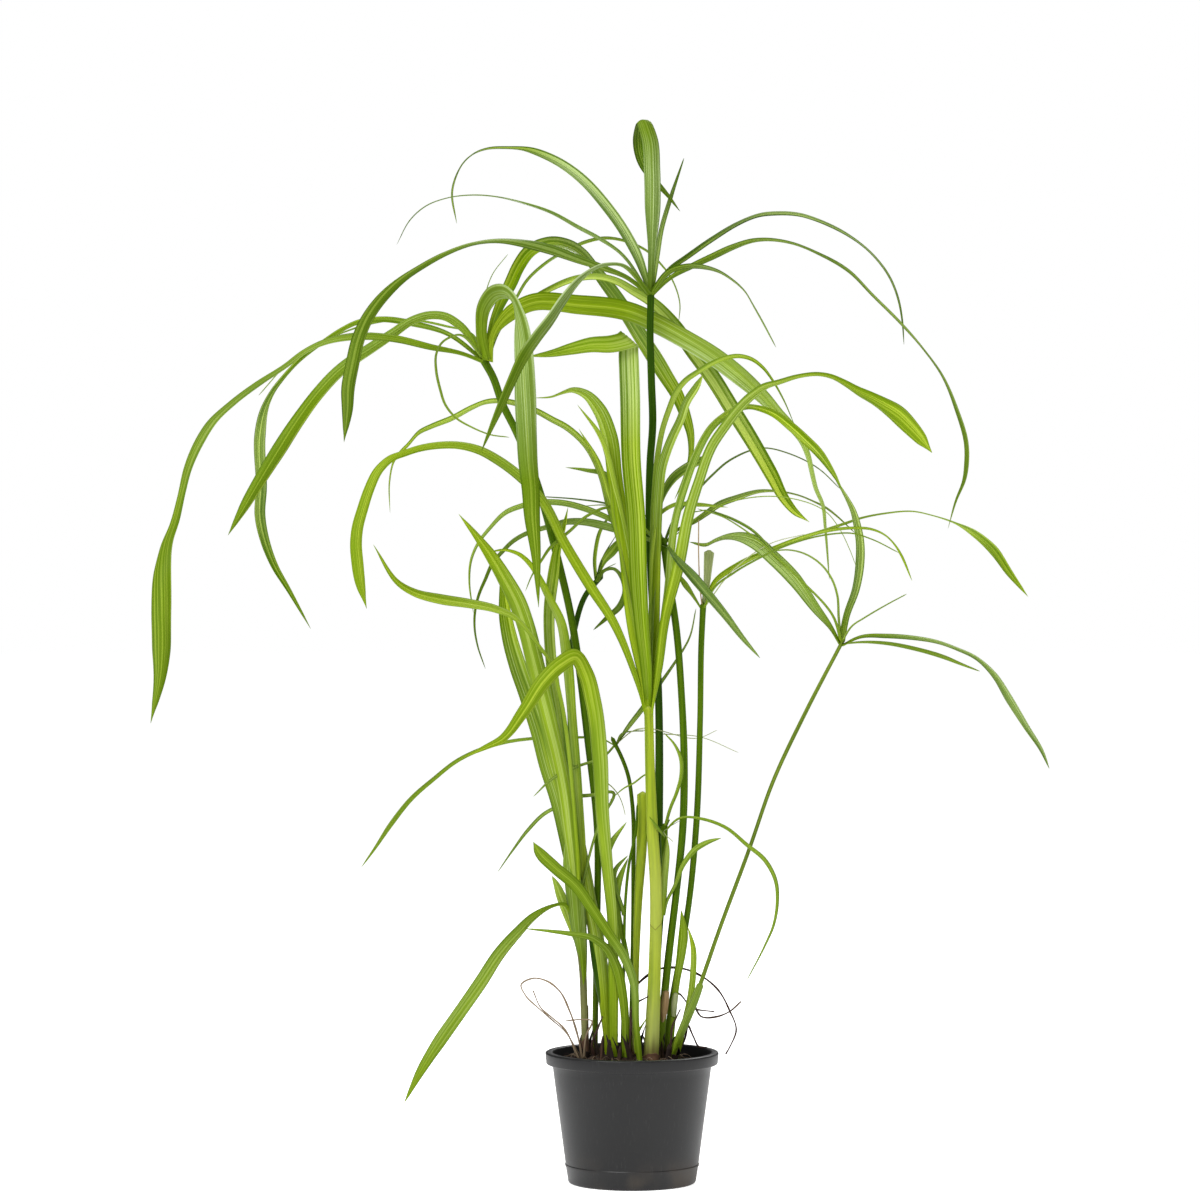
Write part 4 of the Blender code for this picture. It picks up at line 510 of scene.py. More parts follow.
# Old brown stubs on the rhizome (x, y, height, radius), and the two roots of the solids that loop through
# the air, as places (x, depth, z).
STUBS = [(-23, -19, 17, 1.6), (-18, -20, 14, 2.0), (-10, -19, 9, 1.8), (26, -17, 10, 1.8), (-38, 6, 8, 2.0)]
ROOTS = [
    [(-37, -8, 93), (-41, -9, 112), (-47, -10, 130), (-54, -11, 144), (-64, -12, 152), (-74, -13, 154),
     (-83, -14, 149), (-80, -15, 142), (-70, -15, 132), (-61, -14, 124), (-50, -12, 114), (-41, -6, 99),
     (-38, -2, 93)],
    [(0, 17, 93), (6, 21, 148), (22, 22, 158), (39, 21, 158), (54, 16, 152), (65, 9, 143), (73, 2, 129),
     (78, -4, 114), (74, -8, 104), (70, -10, 97)],
]

# How many torn brown scraps stand between the stems.
SCRAPS = 46

# The brown sheaths at each stem's foot: the least and greatest height of each layer.
SHEATHS = {
    "culm_a": [(8, 12), (5, 8)], "culm_b": [(10, 16), (6, 9)], "culm_c": [(5, 8)],
    "culm_d": [(14, 20), (8, 12)], "culm_e": [(14, 20), (8, 12)], "culm_f": [(12, 18), (7, 10)],
    "culm_g": [(6, 9)], "culm_h": [(8, 12)], "culm_i": [(7, 10)], "culm_k": [(6, 10)],
    "culm_l": [(38, 46), (12, 18)], "old_stub": [(8, 14)],
}

# Roots in the air that are too fine for the solids, as places (x, depth, z).
AIR_ROOTS = [
    [(-40, -12, 94), (-52, -14, 118), (-60, -15, 125), (-68, -15, 132), (-74, -14, 145)],
    [(-36, -10, 94), (-34, -12, 112), (-30, -12, 122), (-40, -12, 123), (-50, -12, 122)],
    [(30, 12, 94), (42, 14, 120), (46, 14, 132), (52, 12, 123), (63, 8, 123), (73, 6, 127), (82, 4, 135)],
    [(33, 4, 94), (40, 4, 108), (42, 4, 117), (46, 2, 109), (51, 0, 101), (56, 0, 101)],
    [(-2, -16, 94), (-1, -18, 120), (0, -18, 133), (12, -17, 141)],
    [(28, 10, 94), (32, 12, 128), (35, 12, 140), (45, 10, 130), (62, 6, 127)],
    [(-28, -14, 94), (-29, -16, 100), (-30, -17, 104), (-26, -17, 116), (-22, -16, 126)],
    [(28, -14, 94), (29, -15, 108), (30, -15, 118), (33, -15, 125), (36, -14, 131)],
]

# Leaves too fine for the solids: the crown that each grows from or None, its azimuth there, route as seen,
# depths and widths at some of its points, and finish.
FINE_LEAVES = [
    ("c", 240, [(-8, 470), (-14, 500), (-16, 530), (-20, 548), (-25, 561)],
     {1: -16, 5: -12}, {1: 3, 4: 3, 5: 0.5}, "bright"),
    ("c", 210, [(-9, 480), (-17, 515), (-25, 540), (-40, 565)],
     {1: -14, 4: -6}, {1: 3, 3: 3, 4: 0.5}, "bright"),
    ("c", 120, [(-6, 470), (-16, 520), (-20, 530), (-35, 534), (-50, 536)],
     {1: -8, 5: 6}, {1: 3, 3: 6, 5: 0.5}, "mid"),
    ("c", 60, [(16, 440), (19, 480), (22, 512), (30, 527), (43, 537), (56, 543.6)], {1: -8, 6: 6},
     {1: 3, 3: 4, 4: 7, 5: 7, 6: 5}, "mid"),
    ("c", 80, [(14, 440), (16, 480), (20, 500), (32, 508), (50, 508), (72, 506)],
     {1: -10, 6: 0}, {1: 2.5, 3: 3.2, 5: 3.4, 6: 0.5}, "bright"),
    ("c", 250, [(4, 440), (-12, 520), (-24, 560), (-41, 583)],
     {1: -19, 4: -20}, {1: 4, 3: 4, 4: 0.5}, "bright"),
    ("f", 200, [(4, 494), (-17, 506), (-33, 500), (-47, 488), (-62, 475), (-68, 466), (-75, 455), (-80, 443)],
     {1: 0, 8: -16}, {1: 2.5, 5: 2.5, 8: 0.5}, "mid"),
    ("f", 230, [(2, 496), (-17, 507), (-37, 507)], {1: -2, 3: -10}, {1: 2, 3: 0.5}, "mid"),
    ("f", 330, [(60, 505), (110, 514), (145, 503), (155, 491), (163, 475), (168, 462)],
     {1: -6, 6: -24}, {1: 1, 6: 0.5}, "mid"),
    ("e", 320, [(75, 458), (102, 478), (130, 486)], {1: 0, 3: -12}, {1: 1, 3: 0.5}, "pale"),
    (None, 300, [(47, 503), (56, 504), (66, 501), (78, 496), (90, 489), (102, 477), (112, 463)],
     {0: -10, 6: -20}, {0: 2, 3: 2.4, 5: 2, 6: 0.6}, "mid"),
    ("e", 250, [(51, 446), (50, 470), (50, 497)], {1: 4, 3: -6}, {1: 1, 3: 0.8}, "dry"),
    ("b", 20, [(-110, 640), (-110, 665), (-105, 680), (-93, 696)], {1: -6, 4: 10}, {1: 1, 4: 0.5}, "mid"),
    ("i", 60, [(-25, 456), (-23, 458), (-12, 464)], {1: 15, 3: 20}, {1: 1.5, 3: 0.5}, "mid"),
    ("i", 120, [(-24, 462), (-22, 468), (-12, 485)], {1: 16, 3: 24}, {1: 1.5, 3: 0.5}, "dark"),
    ("l", 150, [(-24, 270), (-14, 292), (-32, 290), (-42, 289), (-53, 283), (-66, 276), (-78, 264),
                (-90, 248), (-101, 232)], {1: -4, 9: 26}, {1: 2, 4: 3, 7: 3, 9: 0.5}, "mid"),
    ("g", 240, [(-20, 320), (-40, 312), (-59, 303), (-74, 289)],
     {1: 4, 4: -12}, {1: 2, 3: 2.5, 4: 0.5}, "mid"),
    ("g", 60, [(-8, 336), (0, 338), (9, 338)], {1: 8, 3: 14}, {1: 1.5, 3: 0.5}, "mid"),
    ("g", 20, [(0, 338), (23, 336), (50, 334), (80, 322)], {1: 8, 4: 22}, {1: 0.8, 4: 0.5}, "pale"),
    ("g", 40, [(0, 338), (50, 333), (64, 339)], {1: 8, 3: 20}, {1: 0.8, 3: 0.5}, "pale"),
    ("h", 30, [(28, 272), (25, 266), (36, 271)], {1: 2, 3: 8}, {1: 1.5, 2: 2, 3: 0.5}, "mid"),
    ("h", 320, [(26, 265), (24, 263), (31, 255)], {1: -4, 3: -10}, {1: 0.8, 3: 0.5}, "pale"),
    (None, 270, [(24, 200), (26, 210), (32, 222), (39, 239), (48, 250), (57, 255), (67, 258)],
     {0: -3, 2: -6, 6: -12}, {0: 2, 2: 2.6, 4: 4.5, 5: 4, 6: 0.5}, "mid"),
    (None, 270, [(-2, 160), (-10, 225), (-3, 243)], {0: -8, 2: -10}, {0: 3, 1: 6, 2: 0.6}, "mid"),
    (None, 270, [(-10, 180), (-15, 255), (-4, 270)], {0: -12, 2: -14}, {0: 3, 1: 5, 2: 0.6}, "mid"),
    (None, 270, [(-6, 200), (-12, 235), (-3, 245)], {0: -10, 2: -12}, {0: 3, 1: 4, 2: 0.6}, "dark"),
    (None, 250, [(8, 240), (9, 305), (1, 299), (-5, 296), (-17, 286)],
     {0: -6, 4: -12}, {0: 1, 2: 1.5, 4: 0.5}, "bright"),
    (None, 250, [(-20, 300), (-17, 298), (-10, 290), (-7, 283), (-5, 275)],
     {0: -2, 4: -8}, {0: 1, 4: 0.5}, "pale"),
    (None, 300, [(24.5, 259), (19, 266), (13, 274)],
     {0: -6, 1: -19.5, 2: -20.5}, {0: 1, 1: 2.6, 2: 0.6}, "mid"),
    (None, 270, [(3, 96), (3, 108), (11, 123)], {0: -18, 2: -22}, {0: 2, 1: 3, 2: 0.5}, "bright"),
]

# Leaf sheaths round stems of the left shoots and of the middle: route as seen, depths and widths at some of
# its points, how deep each is folded round its stem as a share of its width, and finish.
LEAF_SHEATHS = [
    ([(-17, 93), (-19, 121), (-20.9, 142), (-23.4, 163), (-26.5, 183.5), (-31, 205), (-35.6, 231),
      (-40.2, 256), (-43, 280), (-45, 300)],
     {0: 0, 4: 1, 6: 2, 9: 0}, {0: 6, 1: 8, 2: 10.5, 5: 11.5, 7: 10, 8: 8, 9: 0.8}, 0.25, "bright"),
    ([(-36.2, 138), (-36.6, 160), (-37.5, 172), (-39.7, 189), (-42.5, 214), (-46, 240), (-49, 262)],
     {0: -3, 6: -4}, {0: 2.5, 1: 5.5, 2: 8, 3: 12, 4: 14, 5: 13, 6: 0.8}, 0.28, "mid"),
    ([(-40, 176), (-47, 199), (-53, 214), (-57, 224), (-60, 229.5)],
     {0: -2, 4: 0}, {0: 3, 1: 9, 2: 8, 3: 5, 4: 0.8}, 0.0, "bright"),
    ([(21.8, 195), (22.7, 204), (23.2, 215.6), (23.8, 227), (25.1, 239), (26.1, 250), (26, 259)],
     {0: -3.2, 3: -3.8, 6: -3}, {0: 0.8, 1: 4.5, 2: 6.5, 3: 6.5, 4: 5.8, 5: 4.8, 6: 0.8}, 0.2, "bright"),
    ([(29, 94), (35, 108), (41, 122), (47.5, 138), (52, 150)],
     {0: -11, 4: -15}, {0: 5, 2: 6.5, 3: 6.5, 4: 5}, 0.3, "mid"),
    ([(22.8, 120), (23.6, 127), (24.6, 136), (25.4, 144)],
     {0: -3.6, 3: -3.2}, {0: 2.5, 1: 6, 2: 6.6, 3: 5.5}, 0.35, "dry"),
    ([(31, 124), (31.8, 134), (33, 142)],
     {0: -2, 2: -2.4}, {0: 3, 1: 5, 2: 4}, 0.3, "pale"),
]

# Crowns whose leaves clasp the stem's end, how far down they reach on it, and their breadth there as a
# share of the breadth at their first point.
CLASPED = ("c", "l")
CLASP_SINK = 12.0
CLASP_SHARE = 0.3

# The root of a leaf on another crown: its breadth as a share of the breadth at the first point, and its least
# breadth. Then where roots start: how far down in the crown, what share of their given height up it again,
# and how far off its axis.
ROOT_SHARE = 0.7
ROOT_LEAST = 5.0
ROOT_SINK = 3.0
ROOT_RISE = 0.35
ROOT_REACH = 0.5

# Thin leaves: their roots' greatest breadth and how much that is more than at the first point. Finer ones
# start at one height on their crown.
THIN_ROOT = 2.5
THIN_ROOT_MORE = 0.5
FINE_ROOT_HEIGHT = 4.0

# How far a stem runs on into its crown, and how much thicker it is at that end.
CROWN_LENGTH = 8.0
CROWN_SWELL = 1.12

# Leaves whose root stands round the stem's end like a sheath: how far each clasps it and its breadth there.
SHEATHING = {"leaf_b1": (0.55, 9.5), "leaf_b2": (0.55, 8.5)}

# The leaf that is creased over, which its route in LEAVES allows for: the two ends of its crease as seen,
# the depth of the crease, and the first point of the route beyond it. Then how tight the crease is, how far
# from it the blade is flattened, and the stations' step on that leaf.
CREASED = {"leaf_c1": ((-10.5, 636.0), (5.5, 624.5), -29.0, 8)}
CREASE_RADIUS = 0.7
CREASE_REACH = 16.0
CREASE_STEP = 0.7

# The painted silvery highlight on part of each blade, which stands in for gloss where light from above
# catches
# it: where it starts and ends along it, and its most. Then the same for the other leaves, the thin leaves and
# the leaf sheaths, the share of a blade's length in which it fades, and its colour.
PAINTED_HIGHLIGHTS = {
    "leaf_a1": (0.08, 0.5, 0.75), "leaf_a3": (0.05, 0.5, 0.41), "leaf_a4": (0.0, 1.0, 0.3),
    "leaf_a5": (0.1, 0.45, 0.19), "leaf_a6": (0.15, 0.62, 0.9), "leaf_a9": (0.3, 1.0, 0.5),
    "leaf_b1": (0.18, 0.62, 0.8), "leaf_b2": (0.40, 1.0, 0.9), "leaf_b3": (0.3, 0.7, 0.3),
    "leaf_b5": (0.1, 0.5, 0.3), "leaf_b6": (0.5, 0.8, 0.22), "leaf_b7": (0.2, 0.6, 0.3),
    "leaf_c1": (0.65, 0.75, 0.5), "leaf_c2": (0.7, 1.0, 0.38), "leaf_c3": (0.5, 1.0, 0.3),
    "leaf_c4": (0.3, 0.65, 0.38), "leaf_c5": (0.2, 0.6, 0.26), "leaf_c7": (0.4, 0.6, 0.22),
    "leaf_d1": (0.1, 0.9, 0.38), "leaf_d2": (0.2, 1.0, 0.26), "leaf_d3": (0.2, 1.0, 0.45),
    "leaf_f1": (0.0, 1.0, 0.22), "leaf_f4": (0.0, 0.6, 0.3),
    "leaf_l1": (0.0, 0.8, 0.3), "leaf_l2": (0.0, 0.8, 0.3), "leaf_fold": (0.2, 0.6, 0.25),
    "leaf_low_right": (0.0, 0.8, 0.05),
    "leaf_low_left": (0.2, 0.45, 0.41), "leaf_low_left_2": (0.5, 1.0, 0.15),
}
LEAF_PAINTED_HIGHLIGHT = (0.2, 0.8, 0.2)
THIN_PAINTED_HIGHLIGHT = (0.0, 1.0, 0.15)
SHEATH_PAINTED_HIGHLIGHT = (0.3, 1.0, 0.35)
HIGHLIGHT_FADE = 0.16
HIGHLIGHT_SILVER_GREEN = (0.64, 0.79, 0.40)

# The floor: its size in metres, its white paint and how much that glows by itself.
FLOOR_RADIUS = 30.0
FLOOR_WHITE = (0.8, 0.8, 0.8)
FLOOR_ROUGHNESS = 0.9
FLOOR_GLOW = 0.72

# Lamps: place, diameter and power, and what they point at.
LAMPS = {
    "key": ((-1.1, -1.5, 2.5), 1.6, 80.0),
    "fill": ((2.0, -1.6, 1.3), 1.8, 14.0),
    "back": ((0.7, 2.0, 2.2), 1.6, 54.0),
}
LAMP_TARGET = (0.0, 0.0, 0.45)

# How bright the white surroundings are as light on the plant, and as seen in its gloss.
WORLD_LIGHT = 0.4
WORLD_SHINE = 0.12

# Stems whose green is not the common one.
STEM_LOOKS = {
    "culm_b": "stem_mid", "culm_c": "stem_jointed", "culm_d": "stem_grey", "culm_e": "stem_mid",
    "culm_f": "stem_mid", "culm_g": "stem_mid", "culm_h": "stem_mid", "culm_k": "stem_mid",
    "culm_l": "stem_purple",
}

# Leaves that are broader or slimmer than their solids at some points, with their widths.
LEAF_WIDTHS = {
    "leaf_fold": {0: 7, 1: 7.5, 2: 8, 4: 10, 5: 12, 10: 12, 11: 9, 12: 6, 14: 0.8},
    "leaf_e1": {0: 2.5, 1: 2.6, 5: 3, 6: 2.8, 7: 2.4, 8: 2.2, 9: 1.9, 10: 1.3, 11: 1.5, 12: 2.2, 13: 0.8},
    "leaf_e2": {0: 2.5, 1: 2.6, 4: 2.8, 6: 2.2, 7: 1.7, 8: 1.4, 10: 1.1, 11: 1.8, 12: 6, 13: 8, 14: 6,
                15: 0.8},
    "leaf_f2": {0: 2.5, 1: 3, 4: 5, 5: 4.6, 6: 3, 7: 1.6, 8: 1.4, 9: 1.5, 10: 2, 11: 1.6, 12: 0.8},
}

# Stems that are slimmer than their solids, with their radii.
STEM_RADII = {
    "culm_d": {0: 2.6, 2: 2.2, 3: 1.7, 4: 1.5, 8: 1.45},
    "culm_h": {0: 2.2, 2: 2.2, 3: 2.6, 4: 2.6},
}

# Leaves whose green is another than that of their slot.
LEAF_LOOKS = {"leaf_c1": "mid", "leaf_e1": "bright", "leaf_e2": "bright", "leaf_low_left": "mid",
              "leaf_low_right": "mid"}

# Thin leaves that have another finish than the common one: all of a stem's, or one by its number.
TWIG_LOOKS = {"culm_e_1": "pale", "culm_f": "dark", "culm_i": "bright"}

# The record's slot for each finish of the thin leaves.
THIN_SLOTS = {"dark": "leaf_dark", "mid": "leaf_mid", "bright": "leaf_bright", "pale": "stem_pale",
              "dry": "sheath_brown"}

# Finishes of leaves: deep, light, stripe (pale enough to serve as painted highlight too) and underside
# colours, the share of light that shines through them and their roughness.
LEAF_FINISHES = {
    "dark": ((0.034, 0.098, 0.0002), (0.105, 0.20, 0.001), (0.40, 0.53, 0.08), (0.16, 0.25, 0.012),
             0.3, 0.27),
    "mid": ((0.072, 0.155, 0.0002), (0.19, 0.315, 0.001), (0.50, 0.63, 0.08), (0.22, 0.335, 0.012),
            0.3, 0.28),
    "bright": ((0.115, 0.225, 0.0002), (0.28, 0.41, 0.001), (0.62, 0.74, 0.08), (0.29, 0.41, 0.012),
               0.3, 0.28),
    "pale": ((0.30, 0.36, 0.12), (0.44, 0.50, 0.22), (0.62, 0.64, 0.38), (0.5, 0.54, 0.3), 0.35, 0.4),
}

# Finishes of stems: deep, light and pale colours, the share of light that shines through them and, on the
# thick pale stem, the place (x, z) of its joint, with the colour round it.
JOINT = (17.2, 190.5)
JOINT_YELLOW = (0.62, 0.66, 0.14)
PALE_STEM = ((0.16, 0.25, 0.001), (0.36, 0.46, 0.01), (0.68, 0.70, 0.25), 0.3)
STEM_FINISHES = {
    "stem_green": ((0.008, 0.040, 0.0003), (0.022, 0.072, 0.0006), (0.16, 0.26, 0.02), 0.1),
    "stem_mid": ((0.025, 0.075, 0.0003), (0.075, 0.15, 0.001), (0.20, 0.29, 0.02), 0.1),
    "stem_grey": ((0.06, 0.11, 0.006), (0.16, 0.235, 0.018), (0.26, 0.32, 0.09), 0.1),
    "stem_purple": ((0.075, 0.085, 0.03), (0.16, 0.17, 0.05), (0.30, 0.30, 0.12), 0.1),
    "stem_pale": PALE_STEM,
    "stem_jointed": (*PALE_STEM, JOINT),
}

# The brown of a sheath's edge and of the stems' feet.
EDGE_BROWN = (0.09, 0.045, 0.02)

# Finishes of dead leaf, sheaths, soil crumbs and roots: dark and tan colours.
DRY_FINISHES = {
    "leaf_dry": ((0.16, 0.08, 0.03), (0.42, 0.3, 0.14)),
    "sheath_brown": ((0.018, 0.009, 0.006), (0.16, 0.085, 0.045)),
    "crumb": ((0.012, 0.007, 0.004), (0.10, 0.062, 0.035)),
    "root": ((0.035, 0.014, 0.008), (0.27, 0.20, 0.125)),
}

# Finishes of the soil and the rhizome: dark, brown and fleck colours.
EARTH_FINISHES = {
    "soil": ((0.006, 0.004, 0.003), (0.035, 0.022, 0.014), (0.20, 0.15, 0.09)),
    "rhizome": ((0.008, 0.004, 0.003), (0.045, 0.024, 0.014), (0.16, 0.09, 0.045)),
}

# The pot's plastic, dark and light, its scuffs and the dust low down on it.
POT_BLACK = (0.006, 0.006, 0.0065)
POT_BLACK_LIGHT = (0.013, 0.013, 0.0135)
SCUFF_GREY = (0.09, 0.088, 0.085)
DUST = (0.11, 0.085, 0.06)


class Number:
    """A number in a finish. Arithmetic on it adds Math nodes."""

    def __init__(self, finish, socket):
        self.finish = finish
        self.socket = socket

    def __add__(self, other):
        return self.finish.math("ADD", self, other)

    def __radd__(self, other):
        return self.finish.math("ADD", other, self)

    def __sub__(self, other):
        return self.finish.math("SUBTRACT", self, other)

    def __rsub__(self, other):
        return self.finish.math("SUBTRACT", other, self)

    def __mul__(self, other):
        return self.finish.math("MULTIPLY", self, other)

    def __rmul__(self, other):
        return self.finish.math("MULTIPLY", other, self)


class Finish:
    """A material under construction: its nodes, and the short forms that this object's finishes use."""

    def __init__(self, name):
        self.material = bpy.data.materials.new(name)
        self.material.use_nodes = True
        self.tree = self.material.node_tree
        self.tree.nodes.clear()

    def node(self, kind, settings=None, sockets=None):
        """Adds a node: its settings first, then its sockets' values or links."""
        node = self.tree.nodes.new(kind)
        for key, value in (settings or {}).items():
            setattr(node, key, value)
        for key, value in (sockets or {}).items():
            if isinstance(value, Number):
                value = value.socket
            if isinstance(value, bpy.types.NodeSocket):
                self.tree.links.new(value, node.inputs[key])
            else:
                node.inputs[key].default_value = value
        return node

    def math(self, operation, *values):
        """A Math node on one or two numbers."""
        node = self.node("ShaderNodeMath", {"operation": operation}, dict(enumerate(values)))
        return Number(self, node.outputs[0])

    def smooth_step(self, value, low, high):
        """0 below low, 1 above high, and a smooth step between."""
        node = self.node("ShaderNodeMapRange", {"interpolation_type": "SMOOTHSTEP"},
                         {"Value": value, "From Min": low, "From Max": high})
        return Number(self, node.outputs[0])

    def mix(self, factor, first, second):
        """A colour between two colours."""
        node = self.node("ShaderNodeMix", {"data_type": "RGBA"},
                         {0: factor, 6: self.full(first), 7: self.full(second)})
        return node.outputs[2]

    @staticmethod
    def full(colour):
        """A plain colour with its alpha, or a link as it is."""
        return (*colour, 1.0) if isinstance(colour, tuple) else colour

    def attribute(self, name):
        """A number kept on the mesh."""
        node = self.node("ShaderNodeAttribute", {"attribute_name": name})
        return Number(self, node.outputs["Fac"])

    def parts(self, vector):
        """The three numbers of a vector."""
        node = self.node("ShaderNodeSeparateXYZ", None, {0: vector})
        return [Number(self, output) for output in node.outputs]

    def blade_place(self):
        """Where a point is on a blade or stem: across it from 0 to 1, and along it in decimetres."""
        uv = self.node("ShaderNodeUVMap", {"uv_map": "blade"})
        return self.parts(uv.outputs[0])[:2]

    def place(self, x, y, z=0.0):
        """A vector from three numbers."""
        return self.node("ShaderNodeCombineXYZ", None, {0: x, 1: y, 2: z}).outputs[0]

    def noise(self, vector, scale, detail=2.0, roughness=0.5):
        """Smooth noise from 0 to 1."""
        node = self.node("ShaderNodeTexNoise", None,
                         {"Vector": vector, "Scale": scale, "Detail": detail, "Roughness": roughness})
        return Number(self, node.outputs[0])

    def object_place(self):
        """The point in the object's own space, in metres."""
        return self.node("ShaderNodeTexCoord").outputs["Object"]

    def bump(self, height, distance, strength=1.0):
        """A normal from a height of 0 to 1, with the distance in metres."""
        node = self.node("ShaderNodeBump", None,
                         {"Height": height, "Distance": distance, "Strength": strength})
        return node.outputs[0]

    def solid(self, colour, roughness, normal=None, specular=0.5, glow=0.0):
        """Ends the finish as an opaque surface, which may glow with white light of its own."""
        sockets = {"Base Color": self.full(colour), "Roughness": roughness, "Specular IOR Level": specular,
                   "Emission Color": (1.0, 1.0, 1.0, 1.0), "Emission Strength": glow}
        if normal:
            sockets["Normal"] = normal
        shader = self.node("ShaderNodeBsdfPrincipled", None, sockets)
        self.node("ShaderNodeOutputMaterial", None, {0: shader.outputs[0]})
        return self.material

    def leafy(self, colour, glow, share, roughness, normal, shine):
        """Ends the finish as living leaf: a share of the light that falls on its far side shines through."""
        shader = self.node("ShaderNodeBsdfPrincipled", None,
                           {"Base Color": colour, "Roughness": roughness, "Normal": normal,
                            "Specular IOR Level": shine})
        shone = self.node("ShaderNodeBsdfTranslucent", None, {"Color": glow})
        both = self.node("ShaderNodeMixShader", None, {0: share, 1: shader.outputs[0], 2: shone.outputs[0]})
        self.node("ShaderNodeOutputMaterial", None, {0: both.outputs[0]})
        return self.material


def leaf_finish(name, deep, light, pale, under, share, gloss):
    """A sedge blade: parallel veins and stripes whose pale also serves as painted highlight, a pale midrib,
    darker margins, one half darker as painted shade, a painted silvery highlight along part of its length,
    painted shade (a deeper green) where it hangs, a paler underside, and a base of its own."""
    f = Finish(name)
    across, along = f.blade_place()
    tint = f.attribute("tint")
    fraction = f.attribute("fraction")
    side = f.attribute("under")
    rise = f.attribute("rise") * 2.0 - 1.0
    sheen = f.attribute("sheen")
    off_middle = f.math("ABSOLUTE", across - 0.5) * 2.0
    patch = f.noise(f.place(across * 1.2, along * 1.1, tint * 17.0), 1.0, 2.0)
    streak = f.noise(f.place(across * 14.0, along * 0.22, tint * 31.0), 1.0, 2.0, 0.6)
    # The pale stripes are the leaf's own, but their pale is bright enough to serve as painted highlight as
    # well.
    stripes_and_highlight = f.smooth_step(streak + (patch - 0.5) * 0.3, 0.47, 0.61)
    lines = f.smooth_step(f.noise(f.place(across * 26.0, along * 0.1, tint * 11.0), 1.0, 1.0), 0.5, 0.62)
    rib = 1.0 - f.smooth_step(off_middle, 0.02, 0.12)
    margin = f.smooth_step(off_middle, 0.72, 0.98)
    # Painted shade: one half of the blade, beside the midrib, is darker, as if the two halves of its fold
    # caught the light unequally.
    half = f.smooth_step(across + (patch - 0.5) * 0.1, 0.47, 0.53)
    # Painted shade: a deeper green where the blade hangs down, away from the light above; besides that the
    # tone follows random patches.
    hang_shade = f.smooth_step(0.0 - rise, 0.45, 0.95)
    tone_and_hang_shade = f.smooth_step(patch + (tint - 0.5) * 0.3 - hang_shade * 0.15, 0.28, 0.66)
    vein = tuple(0.55 * part for part in deep)
    colour = f.mix(tone_and_hang_shade, deep, light)
    colour = f.mix(stripes_and_highlight * 0.75, colour, pale)
    colour = f.mix(lines * 0.75, colour, vein)
    colour = f.mix(half * 0.3, colour, deep)
    colour = f.mix(rib * 0.3, colour, pale)
    colour = f.mix(margin * 0.4, colour, vein)
    # Painted highlight: a silvery green laid on part of the blade's length, where light from above would
    # gleam on it.
    colour = f.mix(sheen * (0.25 + stripes_and_highlight * 0.95) * (1.0 - lines * 0.7), colour, HIGHLIGHT_SILVER_GREEN)
    colour = f.mix(side * 0.4, colour, under)
    base = 1.0 - f.smooth_step(fraction, 0.0, 0.1)
    colour = f.mix(base * 0.3, colour, light)
    glow = f.mix(tone_and_hang_shade, deep, light)
    roughness = gloss + side * 0.16 + streak * 0.12
    return f.leafy(colour, glow, share, roughness, f.bump(rib * 0.5 + streak * 0.5, 0.00012, 0.5), 0.05)


def stem_finish(name, deep, light, pale, share, joint=None):
    """A sedge stem: smooth and glossy, finely ribbed along its length, paler and browner at its foot.

    Where a joint is given as a place (x, z), the edge of a sheath shows there as a fine brown V that goes up
    to both sides by as much as it is off that place, and the stem is paler near it, above it the most.
    """
    f = Finish(name)
    around, along = f.blade_place()
    tint = f.attribute("tint")
    fraction = f.attribute("fraction")
    mottle = f.noise(f.place(around * 5.0, along * 1.4, tint * 23.0), 1.0, 3.0, 0.6)
    turn = around * (2 * math.pi)
    ribs = f.math("SINE", turn * 15.0) * 0.5 + 0.5
    colour = f.mix(f.smooth_step(mottle, 0.3, 0.7), deep, light)
    colour = f.mix(ribs * 0.16, colour, pale)
    foot = 1.0 - f.smooth_step(along, 0.05, 0.75)
    colour = f.mix(foot * 0.5, colour, pale)
    brown = 1.0 - f.smooth_step(along + mottle * 0.25, 0.14, 0.34)
    colour = f.mix(brown * 0.75, colour, EDGE_BROWN)
    top = f.smooth_step(fraction, 0.985, 1.0)
    colour = f.mix(top * 0.25, colour, pale)
    if joint:
        x, _, z = f.parts(f.object_place())
        aside = f.math("ABSOLUTE", x - joint[0] * MM)
        above = z - aside - joint[1] * MM
        near = f.smooth_step(above, -0.06, 0.0) * (1.0 - f.smooth_step(above, 0.02, 0.1))
        colour = f.mix(near * (f.smooth_step(above, 0.0, 0.0006) * 0.12 + 0.3), colour, JOINT_YELLOW)
        edge = 1.0 - f.smooth_step(f.math("ABSOLUTE", above), 0.0002, 0.0006)
        colour = f.mix(edge * 0.7, colour, EDGE_BROWN)
    return f.leafy(colour, f.mix(0.5, light, pale), share, 0.36 + mottle * 0.12,
                   f.bump(ribs * 0.5 + mottle * 0.4, 0.00018, 0.7), 0.04)


def dry_finish(name, dark, tan):
    """Dead sheath or root: brown and papery, streaked along its length."""
    f = Finish(name)
    around, along = f.blade_place()
    tint = f.attribute("tint")
    streak = f.noise(f.place(around * 16.0, along * 2.0, tint * 19.0), 1.0, 4.0, 0.65)
    patch = f.noise(f.place(around * 2.0, along * 5.0, tint * 7.0), 1.0, 2.0)
    colour = f.mix(f.smooth_step(streak * 0.7 + patch * 0.4 + (tint - 0.5) * 0.7, 0.35, 0.8), dark, tan)
    return f.solid(colour, 0.62 + streak * 0.2, f.bump(streak, 0.0003, 0.8), 0.3)


